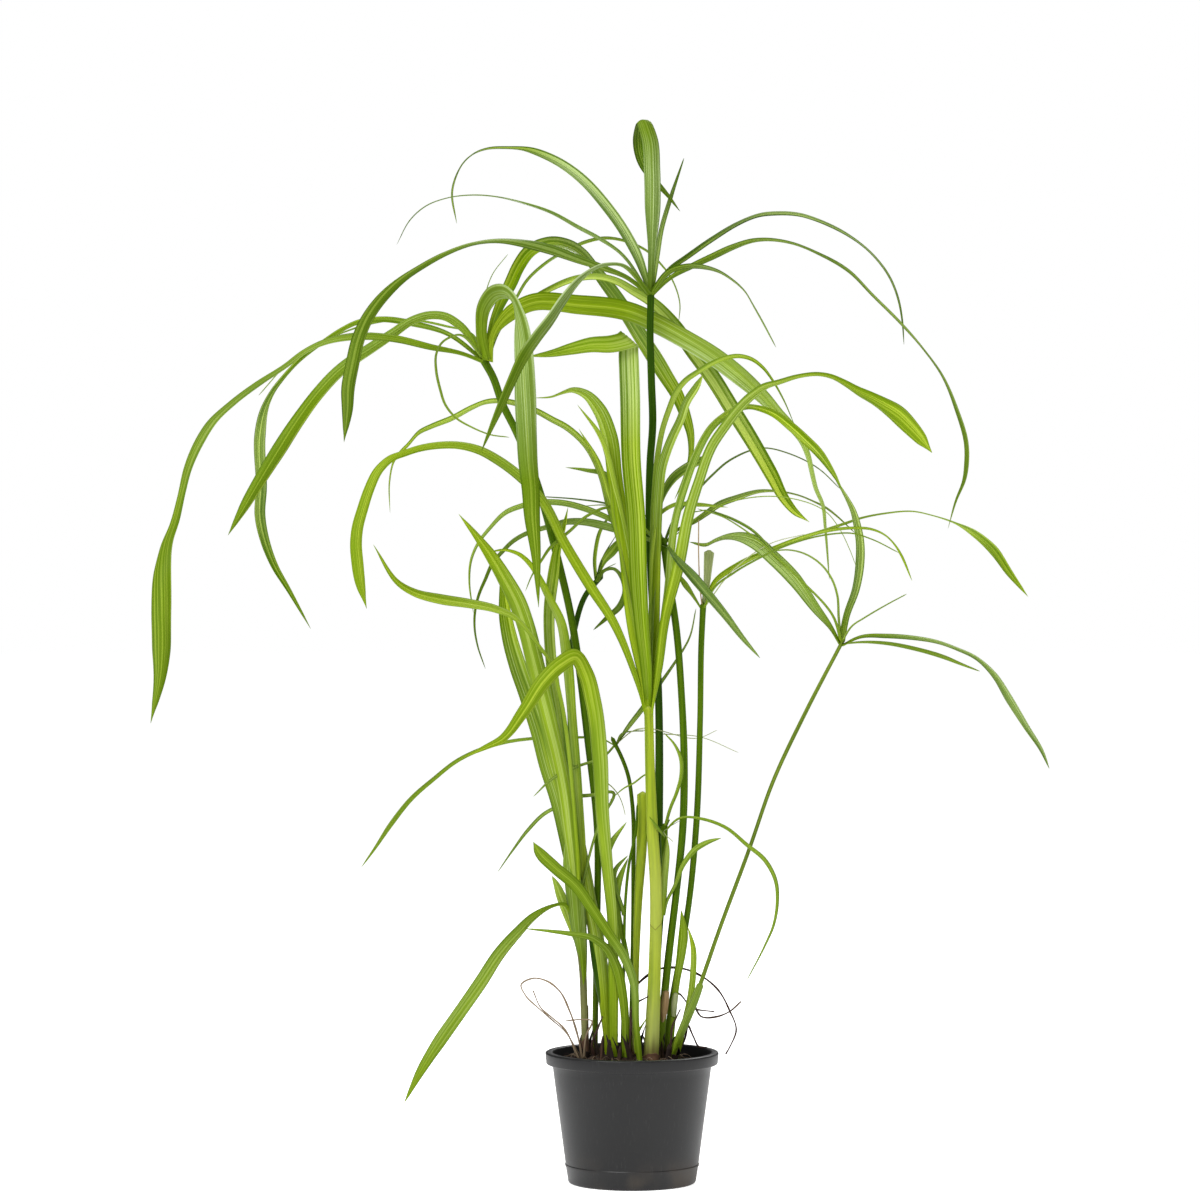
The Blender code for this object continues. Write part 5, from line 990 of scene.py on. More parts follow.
def earth_finish(name, dark, brown, fleck):
    """Moist crumbly potting mix or the fibrous crown: dark, with lighter bits."""
    f = Finish(name)
    where = f.object_place()
    crumb = f.noise(where, 420.0, 5.0, 0.65)
    broad = f.noise(where, 60.0, 3.0)
    colour = f.mix(f.smooth_step(crumb * 0.7 + broad * 0.4, 0.42, 0.72), dark, brown)
    cells = f.node("ShaderNodeTexVoronoi", None, {"Vector": where, "Scale": 520.0})
    spot = 1.0 - f.smooth_step(Number(f, cells.outputs[0]), 0.1, 0.22)
    colour = f.mix(spot * f.smooth_step(broad, 0.5, 0.66) * 0.6, colour, fleck)
    return f.solid(colour, 0.78 + crumb * 0.2, f.bump(crumb * 0.8 + broad * 0.4, 0.0012), 0.25)


def pot_finish():
    """Black moulded plastic: faint flow marks round it, fine grain, scuffs along the rim and some dust low
    down."""
    f = Finish("pot_plastic_finish")
    where = f.object_place()
    x, y, height = f.parts(where)
    grain = f.noise(where, 2600.0, 2.0)
    cloud = f.noise(where, 34.0, 3.0)
    flow = f.noise(f.place(x * 12.0, y * 12.0, height * 260.0), 1.0, 3.0)
    scratch = f.noise(f.place(x * 900.0, y * 900.0, height * 30.0), 1.0, 4.0, 0.7)
    rim = f.smooth_step(height, 0.0945, 0.0985)
    scuff = f.smooth_step(scratch, 0.56, 0.72) * (0.25 + rim * 0.75)
    dust = (1.0 - f.smooth_step(height, 0.0, 0.03)) * f.smooth_step(cloud, 0.4, 0.75)
    colour = f.mix(cloud * 0.6, POT_BLACK, POT_BLACK_LIGHT)
    colour = f.mix(scuff * 0.5, colour, SCUFF_GREY)
    colour = f.mix(dust * 0.35, colour, DUST)
    roughness = 0.36 + cloud * 0.14 + scuff * 0.25 + dust * 0.2
    return f.solid(colour, roughness, f.bump(grain * 0.5 + flow * 0.5, 0.00012, 0.6), 0.3)


def seen_to_world(x, z, depth):
    """The point at a depth along Y that the eye sees at (x, z) on the plane through the pot's axis."""
    on_plane = np.array([x, 0.0, z])
    return EYE + (on_plane - EYE) * (1.0 + depth / -EYE[1])


def through(places, values, where):
    """A smooth curve through values at places (cubic, with slopes from the neighbours), read at where."""
    slopes = np.gradient(values, places, axis=0)
    span = np.clip(np.searchsorted(places, where, side="right") - 1, 0, len(places) - 2)
    width = (places[span + 1] - places[span])[:, None]
    t = np.clip((where - places[span])[:, None] / width, 0.0, 1.0)
    return ((1 + 2 * t) * (1 - t) ** 2 * values[span] + t * (1 - t) ** 2 * width * slopes[span]
            + t * t * (3 - 2 * t) * values[span + 1] + t * t * (t - 1) * width * slopes[span + 1])


def unit(vectors):
    """Vectors of length one."""
    return vectors / np.linalg.norm(vectors, axis=-1, keepdims=True)


def soften(values, reach):
    """Rounds the corners of values along a route with a bell-shaped average; both ends stay."""
    bell = np.hanning(2 * reach + 3)[1:-1]
    before = 2 * values[0] - values[reach:0:-1]
    after = 2 * values[-1] - values[-2:-reach - 2:-1]
    return np.convolve(np.concatenate((before, values, after)), bell / bell.sum(), "valid")


class Route:
    """A smooth route through points: close samples of it, and even stations with their centre, run, side and
    place from 0 to 1."""

    def __init__(self, points, step=STATION_STEP, fewest=FEWEST_STATIONS):
        points = np.asarray(points, dtype=float)
        steps = np.linalg.norm(np.diff(points, axis=0), axis=1)
        self.knots = np.concatenate(([0.0], np.cumsum(steps)))
        self.length = self.knots[-1]
        self.samples = np.linspace(0.0, self.length, SAMPLES_PER_SPAN * (len(points) - 1) + 1)
        self.line = through(self.knots, points, self.samples)
        self.runs = unit(np.gradient(self.line, axis=0))
        self.count = max(fewest, int(self.length / step))
        self.where = np.linspace(0.0, self.length, self.count)
        self.fraction = self.where / self.length
        self.centre = through(self.knots, points, self.where)
        self.run = unit(np.gradient(self.centre, axis=0))
        self.set_side(self.carried(np.array([1.0, 0.0, 0.0])))

    def carried(self, side):
        """A side direction at each sample, carried along the route without spin."""
        sides = np.empty_like(self.runs)
        for index, run in enumerate(self.runs):
            side = unit(side - np.dot(side, run) * run)
            sides[index] = side
        return sides

    def set_side(self, sides):
        """Reads the stations' sides from the samples', and sets their faces square to them."""
        reach = max(1, min(4, self.count // 8))
        side = np.stack([soften(np.interp(self.where, self.samples, column), reach) for column in sides.T],
                        axis=1)
        self.side = unit(side - np.sum(side * self.run, axis=1)[:, None] * self.run)
        self.face = np.cross(self.run, self.side)

    def spread(self, table):
        """A table's values, given at some of the route's points, at the samples, with straight runs
        between."""
        return np.interp(self.samples, [self.knots[i] for i in table], list(table.values()))

    def read(self, samples, reach=4):
        """Numbers given at the samples, at the stations with their corners rounded."""
        return soften(np.interp(self.where, self.samples, samples), max(1, min(reach, self.count // 6)))

    def between(self, where, rows):
        """Vectors kept for the stations, at other distances along the route."""
        return np.stack([np.interp(where, self.where, column) for column in rows.T], axis=-1)


def blade_sides(route, facing, turns):
    """The direction across a blade at each sample of its route.

    It starts level at the root, facing along the azimuth, and is carried along the route without spin. On
    the way it turns little by little until the eye sees the blade's whole breadth, but for the given turn
    and a slow sway. Where the blade runs along the line of sight, it is only carried.
    """
    azimuth = math.radians(facing)
    fronts = np.cross(route.runs, unit(route.line - EYE))
    clear = np.linalg.norm(fronts, axis=1)
    fronts /= np.maximum(clear, 1e-6)[:, None]
    wanted = np.radians(route.spread(turns) + SWAY * np.sin(route.samples / SWAY_LENGTH + azimuth))
    share = 1.0 - np.exp(-(route.samples[1] - route.samples[0]) / STEER_LENGTH)
    side = np.array([-math.sin(azimuth), math.cos(azimuth), 0.0])
    sides = np.empty_like(route.runs)
    for index, run in enumerate(route.runs):
        side = unit(side - np.dot(side, run) * run)
        front = fronts[index]
        aim = math.cos(wanted[index]) * front + math.sin(wanted[index]) * np.cross(run, front)
        if np.dot(aim, side) < 0.0:
            aim = -aim
        off = math.atan2(np.dot(np.cross(side, aim), run), np.dot(side, aim)) * share * clear[index] ** 2
        side = math.cos(off) * side + math.sin(off) * np.cross(run, side)
        sides[index] = side
    return sides


def put_mesh(name, points, quads, uvs, numbers, material):
    """A mesh of quads in millimetres, with a UV pair and named numbers for each point. Edges between two
    points of the rim are sharp."""
    mesh = bpy.data.meshes.new(name)
    mesh.from_pydata([], [], [])
    mesh.vertices.add(len(points))
    mesh.vertices.foreach_set("co", (points * MM).astype(np.float32).ravel())
    mesh.loops.add(quads.size)
    mesh.loops.foreach_set("vertex_index", quads.astype(np.int32).ravel())
    mesh.polygons.add(len(quads))
    mesh.polygons.foreach_set("loop_start", np.arange(0, quads.size, 4, dtype=np.int32))
    mesh.update(calc_edges=True)
    layer = mesh.uv_layers.new(name="blade")
    layer.data.foreach_set("uv", uvs[quads.ravel()].astype(np.float32).ravel())
    for key, values in numbers.items():
        attribute = mesh.attributes.new(key, "FLOAT", "POINT")
        attribute.data.foreach_set("value", values.astype(np.float32))
    mesh.validate()
    mesh.shade_smooth()
    ends = np.empty(2 * len(mesh.edges), dtype=np.int32)
    mesh.edges.foreach_get("vertices", ends)
    mesh.edges.foreach_set("use_edge_sharp", np.all(numbers["rim"][ends.reshape(-1, 2)] > 0.5, axis=1))
    thing = bpy.data.objects.new(name, mesh)
    thing.data.materials.append(material)
    bpy.context.scene.collection.objects.link(thing)
    return thing


def tube_quads(stations, around):
    """The quads of a closed skin: rings of points joined one to the next, and each end shut by strips that
    run across the ring from one half to the other. The ring's count is even."""
    ring = np.arange(around)
    here = np.arange(stations - 1)[:, None] * around + ring
    there = np.arange(stations - 1)[:, None] * around + (ring + 1) % around
    walls = np.stack([here, there, there + around, here + around], axis=-1).reshape(-1, 4)
    half = np.arange(around // 2 - 1)
    cap = np.stack([half, around - 1 - half, around - 2 - half, half + 1], axis=-1)
    return np.concatenate([walls, cap, (stations - 1) * around + cap[:, ::-1]])


class Skin:
    """Points, quads, UVs and numbers of one or more closed skins that become one piece."""

    def __init__(self):
        self.points, self.quads, self.uvs = [], [], []
        self.numbers = {"fraction": [], "tint": [], "under": [], "rise": [], "sheen": [], "rim": []}
        self.total = 0

    def add(self, points, quads, uvs, **numbers):
        """Adds one closed skin. Each of its numbers is given for every point, ring or place on the rings."""
        shape = points.shape[:-1]
        self.points.append(points.reshape(-1, 3))
        self.quads.append(quads + self.total)
        self.uvs.append(uvs.reshape(-1, 2))
        for key, rows in self.numbers.items():
            rows.append(np.broadcast_to(numbers.get(key, 0.0), shape).ravel())
        self.total += len(self.points[-1])

    def finish(self, name, material, slot, *nodes):
        """Makes the piece, which rides on the plant's body and stands for the nodes."""
        numbers = {key: np.concatenate(rows) for key, rows in self.numbers.items()}
        thing = put_mesh(name, np.concatenate(self.points), np.concatenate(self.quads),
                         np.concatenate(self.uvs), numbers, material)
        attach(thing, "root")
        if nodes:
            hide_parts(*nodes)


class Crease:
    """A sharp fold of a flat blade towards the front, over the line from one place as seen to another on its
    right, at a depth."""

    def __init__(self, first, second, depth):
        first, second = (seen_to_world(x, z, depth) for x, z in (first, second))
        self.place = first
        along = unit(second - first)
        self.out = np.array([-along[2], 0.0, along[0]])

    def beyond(self, points):
        """How far points lie beyond the crease, on its upper side."""
        return (points - self.place) @ self.out

    def unfolded(self, points, first):
        """A route's points with those from the given one on turned back over the crease."""
        points = np.array(points)
        past = self.beyond(points[first:])
        points[first:] += (math.pi * CREASE_RADIUS - 2.0 * past)[:, None] * self.out
        points[first:, 1] = 2.0 * (self.place[1] - CREASE_RADIUS) - points[first:, 1]
        return points

    def folded(self, points):
        """Points with those beyond the crease carried round a half circle of CREASE_RADIUS and back in
        front."""
        beyond = self.beyond(points)
        turn = np.clip(beyond / CREASE_RADIUS, 0.0, math.pi)
        lever = CREASE_RADIUS + points[..., 1] - self.place[1]
        past = np.maximum(beyond - math.pi * CREASE_RADIUS, 0.0)
        shift = np.where(beyond > 0.0, lever * np.sin(turn) - past - beyond, 0.0)
        bent = points + shift[..., None] * self.out
        bent[..., 1] += np.where(beyond > 0.0, lever * (np.cos(turn) - 1.0), 0.0)
        return bent


def blade_loop(side_points):
    """A blade's section from its left edge over the upper side to the right edge and back underneath: places
    across it from -1 to 1, with 1 for the upper side and -1 for the underside."""
    steps = np.linspace(-1.0, 1.0, side_points)
    loop = np.concatenate([steps, steps[-2:0:-1]])
    over = np.concatenate([np.ones(side_points), -np.ones(side_points - 2)])
    return loop, over


def blade_width(route, widths):
    """The breadth at each station, drawn in at the tip by a square root."""
    width = np.maximum(route.read(route.spread(widths)), LEAST_WIDTH)
    tip = np.clip((1.0 - route.fraction) / TIP_SHARE, 0.0, 1.0)
    return width * (TIP_WIDTH + (1.0 - TIP_WIDTH) * np.sqrt(tip))


def blade_lift(route, width, loop, fold, rng):
    """How far the middle of a blade's thickness lies off a flat blade: a valley along the midrib, as deep as
    the fold, and a slow wave that grows towards the edges."""
    edge = np.abs(loop)
    dip = -(1.0 - edge) ** FOLD_POWER - FOLD_SHOULDER * np.sin(math.pi * edge)
    length = rng.uniform(*RIPPLE_LENGTH)
    wave = route.where[:, None] * (2 * math.pi / length) + loop * RIPPLE_SLANT + rng.uniform(0, PHASE)
    ripple = RIPPLE_HEIGHT * np.sin(wave) * edge ** 2
    return width[:, None] * (fold[:, None] * dip + ripple)


def painted_highlight_along(route, sheen):
    """How strong the painted silvery highlight is at each station: its most between its start and its end."""
    start, end, most = sheen
    rising = np.clip((route.fraction - start) / HIGHLIGHT_FADE + 0.5, 0.0, 1.0)
    falling = np.clip((end - route.fraction) / HIGHLIGHT_FADE + 0.5, 0.0, 1.0)
    return most * (rising * falling)


def long_uvs(across, route):
    """UV pairs of a skin along a route: the given places across it, and the way along it in decimetres."""
    shape = (route.count, len(across))
    along = route.where[:, None] / DECIMETRE
    return np.stack([np.broadcast_to(across, shape), np.broadcast_to(along, shape)], axis=-1)


def add_blade(skin, points, facing, widths, turns, tint, rng, side_points=LEAF_SIDE_POINTS, clasp=0.0,
              sheen=THIN_PAINTED_HIGHLIGHT, crease=None, wrap=0.0):
    """One leaf blade. At each station its section is a thin lens from edge to edge, folded into a shallow
    valley along the midrib, deeper near the root and where it clasps a stem, and lifted at the edges by a
    slow wave. Beyond a crease it lies folded back, and it is flat near it."""
    route = Route(points, CREASE_STEP if crease else STATION_STEP)
    if crease:
        route.set_side(np.cross(route.runs, unit(route.line - EYE)))
    else:
        route.set_side(blade_sides(route, facing, turns))
    width = blade_width(route, widths)
    loop, over = blade_loop(side_points)
    edge = np.abs(loop)
    near_root = np.clip(1.0 - route.where / ROOT_LENGTH, 0.0, 1.0)
    fold = wrap + LEAF_KEEL * (1.0 + (1.0 + CLASP_FOLD * clasp) * near_root)
    lift = blade_lift(route, width, loop, fold, rng)
    breadth = 0.5 * width[:, None] * loop
    points = route.centre[:, None, :] + breadth[:, :, None] * route.side[:, None, :]
    if crease:
        lift *= np.clip(np.abs(crease.beyond(points)) / CREASE_REACH, 0.0, 1.0)
    thick = np.minimum(LEAF_THICKNESS, THICK_SHARE * width)
    lift = lift + 0.5 * thick[:, None] * (over * (1.0 - edge ** 2))
    points = points + lift[:, :, None] * route.face[:, None, :]
    if crease:
        points = crease.folded(points)
    # The strength of the painted silvery highlight goes on the mesh, for the leaf finish to paint.
    skin.add(points, tube_quads(route.count, len(loop)), long_uvs(loop * 0.5 + 0.5, route),
             fraction=route.fraction[:, None], tint=tint, under=(over < 0).astype(float),
             rise=0.5 + 0.5 * route.run[:, 2:], sheen=painted_highlight_along(route, sheen)[:, None],
             rim=(edge > 0.999).astype(float))


def add_tube(skin, route, radii, tint, around=16, flute=0.0):
    """A round stem or root: circles of the given radii square to the run, with shallow flutes if asked."""
    turn = np.linspace(0.0, 2 * math.pi, around, endpoint=False)
    swell = 1.0 + flute * np.cos(FLUTES * turn)
    ring = np.cos(turn)[:, None] * route.side[:, None, :] + np.sin(turn)[:, None] * route.face[:, None, :]
    points = route.centre[:, None, :] + (radii[:, None] * swell)[:, :, None] * ring
    there_and_back = 1.0 - np.abs(1.0 - np.arange(around) * 2.0 / around)
    skin.add(points, tube_quads(route.count, around), long_uvs(there_and_back, route),
             fraction=route.fraction[:, None], tint=tint)


def crown_root(crown, azimuth, height, reach):
    """A place by a crown's axis, at an azimuth about Z, a distance from the axis and a height."""
    x, depth, z = CROWNS[crown]
    angle = math.radians(azimuth)
    return seen_to_world(x, z, depth) + np.array([reach * math.cos(angle), reach * math.sin(angle), height])


def read_depths(depths, first, count):
    """The depth of each point of a route, read between the points whose depth is given."""
    return np.interp(np.arange(first, first + count), list(depths), list(depths.values()))


def route_points(seen, depths):
    """World points for places as seen, at their depths."""
    return [seen_to_world(x, z, y) for (x, z), y in zip(seen, read_depths(depths, 0, len(seen)))]


def ground_points(seen, depths):
    """World points of what grows from the ground, with the first put down to where the stems start."""
    points = route_points(seen, depths)
    points[0][2] = STEM_BASE_Z
    return points


def crown_route(crown, root, seen, depths, sink=ROOT_SINK):
    """World points of a leaf that grows from a crown. It starts inside the crown. The further it hangs out to
    the side, the more it also spreads in front of the crown or behind it."""
    azimuth, height = root
    crown_x, crown_depth, _ = CROWNS[crown]
    points = [crown_root(crown, azimuth, ROOT_RISE * height - sink, ROOT_REACH)]
    for (x, z), depth in zip(seen, read_depths(depths, 1, len(seen))):
        spread = 1.0 + abs(x - crown_x) / SPREAD_REACH
        points.append(seen_to_world(x, z, crown_depth + spread * (depth - crown_depth)))
    return points


def seeded(name):
    """Random numbers that are the same each run for a piece's name."""
    return np.random.default_rng(sum(ord(letter) * (place + 7) for place, letter in enumerate(name)))


def rooted_leaf(name, crown, root, seen, depths, widths):
    """Points and widths of a leaf on a crown, how far it clasps the stem, and its crease if it has one."""
    clasp = 1.0 if crown in CLASPED else 0.0
    points = crown_route(crown, root, seen, depths, CLASP_SINK if clasp else ROOT_SINK)
    root_width = CLASP_SHARE * widths[1] if clasp else max(ROOT_LEAST, ROOT_SHARE * widths[1])
    if name in SHEATHING:
        clasp, root_width = SHEATHING[name]
    crease = None
    if name in CREASED:
        left, right, depth, first = CREASED[name]
        crease = Crease(left, right, depth)
        points = crease.unfolded(points, first)
    return points, {0: root_width, **widths}, clasp, crease


def make_leaves(finishes):
    """Every leaf that has a solid of its own. On the two thick crowns the leaves clasp the stem's end."""
    for name, (crown, root, seen, depths, widths, green) in LEAVES.items():
        rng = seeded(name)
        widths = LEAF_WIDTHS.get(name, widths)
        if crown:
            facing = root[0]
            points, widths, clasp, crease = rooted_leaf(name, crown, root, seen, depths, widths)
        else:
            facing = root
            points = ground_points(seen, depths)
            clasp, crease = 0.0, None
        skin = Skin()
        add_blade(skin, points, facing, widths, TURNS.get(name, NO_TURN), rng.uniform(0, 1), rng, clasp=clasp,
                  sheen=PAINTED_HIGHLIGHTS.get(name, LEAF_PAINTED_HIGHLIGHT), crease=crease)
        finish = finishes[LEAF_LOOKS.get(name, green)]
        skin.finish("blade_" + name.removeprefix("leaf_"), finish, "leaf_" + green, name)


def make_stems(finishes):
    """Every stem. It runs on into its crown, swells a little there and is rounded off."""
    for name, (crown, seen, depths, radii, finish) in STEMS.items():
        radii = STEM_RADII.get(name, radii)
        rng = seeded(name)
        points = ground_points(seen, depths)
        last = len(points) - 1
        if crown:
            points.append(points[-1] + unit(points[-1] - points[-2]) * CROWN_LENGTH)
            radii = {**radii, last: radii[last], last + 1: radii[last] * CROWN_SWELL}
        route = Route(points)
        wave = np.sin(route.where / STEM_WAVE_LENGTH + rng.uniform(0, PHASE))
        radius = route.read(route.spread(radii), 3) * (1.0 + STEM_WAVE * wave)
        end = np.clip((route.length - route.where) / STEM_END, 0.0, 1.0)
        radius = radius * np.sqrt(np.clip(1.0 - (1.0 - end) ** 2, STEM_END_LEAST, 1.0))
        skin = Skin()
        add_tube(skin, route, radius, rng.uniform(0, 1), STEM_AROUND, STEM_FLUTE)
        look = finishes[STEM_LOOKS.get(name, finish)]
        skin.finish("stem_" + name.removeprefix("culm_"), look, finish, name)


def make_thin_leaves(finishes):
    """The thin leaves that are fused to the stems in the solids and the still finer ones, by finish."""
    skins = {green: Skin() for green in THIN_SLOTS}
    for stem, twigs in TWIGS.items():
        for index, (root, seen, depths, widths) in enumerate(twigs):
            name = "%s_%d" % (stem, index)
            green = TWIG_LOOKS.get(name, TWIG_LOOKS.get(stem, "mid"))
            rng = seeded(name)
            points = crown_route(STEMS[stem][0], root, seen, depths)
            widths = {0: min(THIN_ROOT, widths[1] + THIN_ROOT_MORE), **widths}
            add_blade(skins[green], points, root[0], widths, NO_TURN, rng.uniform(0, 1), rng,
                      THIN_SIDE_POINTS)
    for index, (crown, azimuth, seen, depths, widths, green) in enumerate(FINE_LEAVES):
        rng = seeded("fine_%d" % index)
        if crown:
            points = crown_route(crown, (azimuth, FINE_ROOT_HEIGHT), seen, depths)
            widths = {0: widths[1], **widths}
        else:
            points = route_points(seen, depths)
        add_blade(skins[green], points, azimuth, widths, NO_TURN, rng.uniform(0, 1), rng, THIN_SIDE_POINTS)
    for index, (seen, depths, widths, wrap, green) in enumerate(LEAF_SHEATHS):
        rng = seeded("leaf_sheath_%d" % index)
        add_blade(skins[green], route_points(seen, depths), FRONT, widths, NO_TURN, rng.uniform(0, 1), rng,
                  sheen=SHEATH_PAINTED_HIGHLIGHT, wrap=wrap)
    for green, skin in skins.items():
        skin.finish("thin_leaves_" + green, finishes[green], THIN_SLOTS[green])


def lathe(profile, sides):
    """A profile of (radius, z) pairs turned about Z, with a flat disc across each end of it."""
    bm = bmesh.new()
    turn = np.linspace(0.0, 2 * math.pi, sides, endpoint=False)
    radius, z = np.array(profile).T * MM
    rows = [[bm.verts.new((r * math.cos(a), r * math.sin(a), h)) for r, h in zip(radius, z)] for a in turn]
    for here, there in zip(rows, rows[1:] + rows[:1]):
        for low in range(len(profile) - 1):
            bm.faces.new((here[low], there[low], there[low + 1], here[low + 1]))
    bm.faces.new([row[0] for row in reversed(rows)])
    bm.faces.new([row[-1] for row in rows])
    return bm


def pot_radius(z):
    """The outer radius of the pot's tapered wall at a height."""
    return POT_BASE_RADIUS + (POT_TOP_RADIUS - POT_BASE_RADIUS) * z / POT_HEIGHT


def arc(centre_r, centre_z, radius, first, last):
    """Points of a rounded corner of the profile, by its angles in degrees."""
    angles = np.radians(np.linspace(first, last, ARC_POINTS))
    return [(centre_r + radius * math.cos(a), centre_z + radius * math.sin(a)) for a in angles]


def pot_profile():
    """The pot's section: out along its raised underside, round the foot ring, up the wall over the bead,
    round the rim, and down the inner wall to the floor."""
    drop = POT_HEIGHT - POT_RIM_DROP
    inner_top = pot_radius(POT_HEIGHT) - POT_WALL
    foot = POT_BASE_RADIUS - FOOT_BREADTH
    low, high = BEAD_LOW_Z + BEAD_SLOPE, BEAD_HIGH_Z - BEAD_SLOPE
    profile = [(AXIS_GAP, UNDERSIDE_Z), (foot, UNDERSIDE_Z), (foot + FOOT_SLOPE, 0.0)]
    profile += arc(POT_BASE_RADIUS - FOOT_CURVE, FOOT_CURVE, FOOT_CURVE, -90, -8)
    profile += [(pot_radius(BEAD_LOW_Z), BEAD_LOW_Z), (pot_radius(BEAD_LOW_Z) + BEAD_HEIGHT, low),
                (pot_radius(high) + BEAD_HEIGHT, high), (pot_radius(BEAD_HIGH_Z), BEAD_HIGH_Z)]
    profile += [(pot_radius(z), z) for z in OUTER_WALL_Z]
    step = drop - RIM_STEP_DROP
    profile += [(pot_radius(step), step), (pot_radius(drop) + RIM_STEP_OUT, drop)]
    profile += arc(POT_RIM_RADIUS - LIP_SET_IN - LIP_CURVE, drop + LIP_CURVE, LIP_CURVE, -90, 0)
    profile += arc(POT_RIM_RADIUS - RIM_OUTER_CURVE, POT_HEIGHT - RIM_OUTER_CURVE, RIM_OUTER_CURVE, 0, 90)
    profile += arc(inner_top + RIM_INNER_CURVE, POT_HEIGHT - RIM_INNER_CURVE, RIM_INNER_CURVE, 90, 180)
    profile += [(pot_radius(z) - POT_WALL, z) for z in INNER_WALL_Z]
    floor_radius = pot_radius(POT_WALL) - POT_WALL - INNER_FLOOR_SET_IN
    return profile + [(floor_radius, INNER_FLOOR_Z), (AXIS_GAP, INNER_FLOOR_Z)]


def bmesh_object(name, bm):
    """An object in the scene from a bmesh, which is freed."""
    mesh = bpy.data.meshes.new(name)
    bm.to_mesh(mesh)
    bm.free()
    thing = bpy.data.objects.new(name, mesh)
    bpy.context.scene.collection.objects.link(thing)
    return thing


def hole_cutter():
    """Upright round rods where the drain holes are."""
    rods = bmesh.new()
    for hole in range(DRAIN_HOLES):
        angle = 2 * math.pi * (hole + 0.5) / DRAIN_HOLES
        made = bmesh.ops.create_cone(rods, cap_ends=True, segments=HOLE_SIDES, radius1=DRAIN_HOLE_RADIUS * MM,
                                     radius2=DRAIN_HOLE_RADIUS * MM, depth=HOLE_CUTTER_DEPTH * MM)
        place = Vector((math.cos(angle), math.sin(angle), 0.0)) * (DRAIN_HOLE_RING * MM)
        bmesh.ops.translate(rods, verts=made["verts"], vec=place)
    return bmesh_object("holes", rods)


def make_pot(finish):
    """The nursery pot: a tapered wall with a foot ring, a rolled rim with a step under it, drain holes."""
    wall = lathe(pot_profile(), POT_SIDES)
    bmesh.ops.recalc_face_normals(wall, faces=wall.faces)
    pot = bmesh_object("nursery_pot", wall)
    cutter = hole_cutter()
    cut = pot.modifiers.new("holes", "BOOLEAN")
    cut.operation = "DIFFERENCE"
    cut.object = cutter
    baked = bpy.data.meshes.new_from_object(pot.evaluated_get(bpy.context.evaluated_depsgraph_get()))
    pot.modifiers.clear()
    pot.data = baked
    bpy.data.objects.remove(cutter, do_unlink=True)
    baked.materials.clear()
    baked.materials.append(finish)
    baked.shade_smooth()
    baked.set_sharp_from_angle(angle=math.radians(SHARP_ANGLE))
    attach(pot, "root")
    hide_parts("pot")


def lumps(x, y, seed, scale, octaves):
    """Smooth random hills over a plane: waves in several directions whose length halves as they get lower."""
    rng = np.random.default_rng(seed)
    total = np.zeros_like(x)
    for octave in range(octaves):
        for _ in range(WAVES):
            angle, phase = rng.uniform(0, 2 * math.pi, 2)
            reach = scale / 2 ** octave
            way = x * math.cos(angle) + y * math.sin(angle)
            total += np.sin(way * 2 * math.pi / reach + phase) / 2 ** octave
    return total / WAVES


def soil_height(x, y, share):
    """The height of the soil, which sinks towards the wall with the cube of the share of the way there."""
    slope = SOIL_TOP_Z + (SOIL_EDGE_Z - SOIL_TOP_Z) * share ** 3
    return slope + LUMP_HEIGHT * lumps(x, y, *SOIL_LUMPS)


def make_soil(finish):
    """The potting mix: rings from the middle out to the wall, then down to the floor and in under it."""
    edge = pot_radius(SOIL_EDGE_Z) - POT_WALL - SOIL_TOP_GAP
    turn = np.linspace(0.0, 2 * math.pi, SOIL_AROUND, endpoint=False)
    radius = (edge * np.linspace(FIRST_RING, 1.0, SOIL_RINGS) ** SOIL_SPREAD)[:, None]
    x = radius * np.cos(turn)
    y = radius * np.sin(turn)
    top = np.stack([x, y, soil_height(x, y, radius / edge) - SOIL_SINK], axis=-1)
    floor_radius = pot_radius(SOIL_FLOOR_Z) - POT_WALL - SOIL_FLOOR_GAP
    wall = np.array([(pot_radius(z) - POT_WALL - SOIL_WALL_GAP, z) for z in SOIL_WALL_Z]
                    + [(floor_radius, SOIL_FLOOR_Z), (floor_radius * FIRST_RING, SOIL_FLOOR_Z)])
    side = np.stack([wall[:, :1] * np.cos(turn), wall[:, :1] * np.sin(turn),
                     np.repeat(wall[:, 1:], SOIL_AROUND, axis=1)], axis=-1)
    points = np.concatenate([top, side]).reshape(-1, 3)
    quads = tube_quads(SOIL_RINGS + len(wall), SOIL_AROUND)[:, ::-1]
    skin = Skin()
    skin.add(points, quads, points[:, :2] / DECIMETRE, tint=0.5)
    skin.finish("potting_mix", finish, "soil", "soil")


def unit_crumb():
    """Points of a barrel of length 2 along X, narrow at both ends, that every crumb is made from."""
    along = np.linspace(-1.0, 1.0, CRUMB_RINGS)
    circle = np.linspace(0.0, 2 * math.pi, CRUMB_AROUND, endpoint=False)
    belly = np.sqrt(1.0 - 0.9 * along ** 2)[:, None]
    length = np.broadcast_to(along[:, None], (CRUMB_RINGS, CRUMB_AROUND))
    return np.stack([length, belly * np.cos(circle), belly * np.sin(circle)], axis=-1).reshape(-1, 3)


def turned(first, second, angle):
    """Two coordinates of each crumb's points, turned by the crumb's own angle."""
    cosine, sine = np.cos(angle)[:, None], np.sin(angle)[:, None]
    return first * cosine - second * sine, first * sine + second * cosine


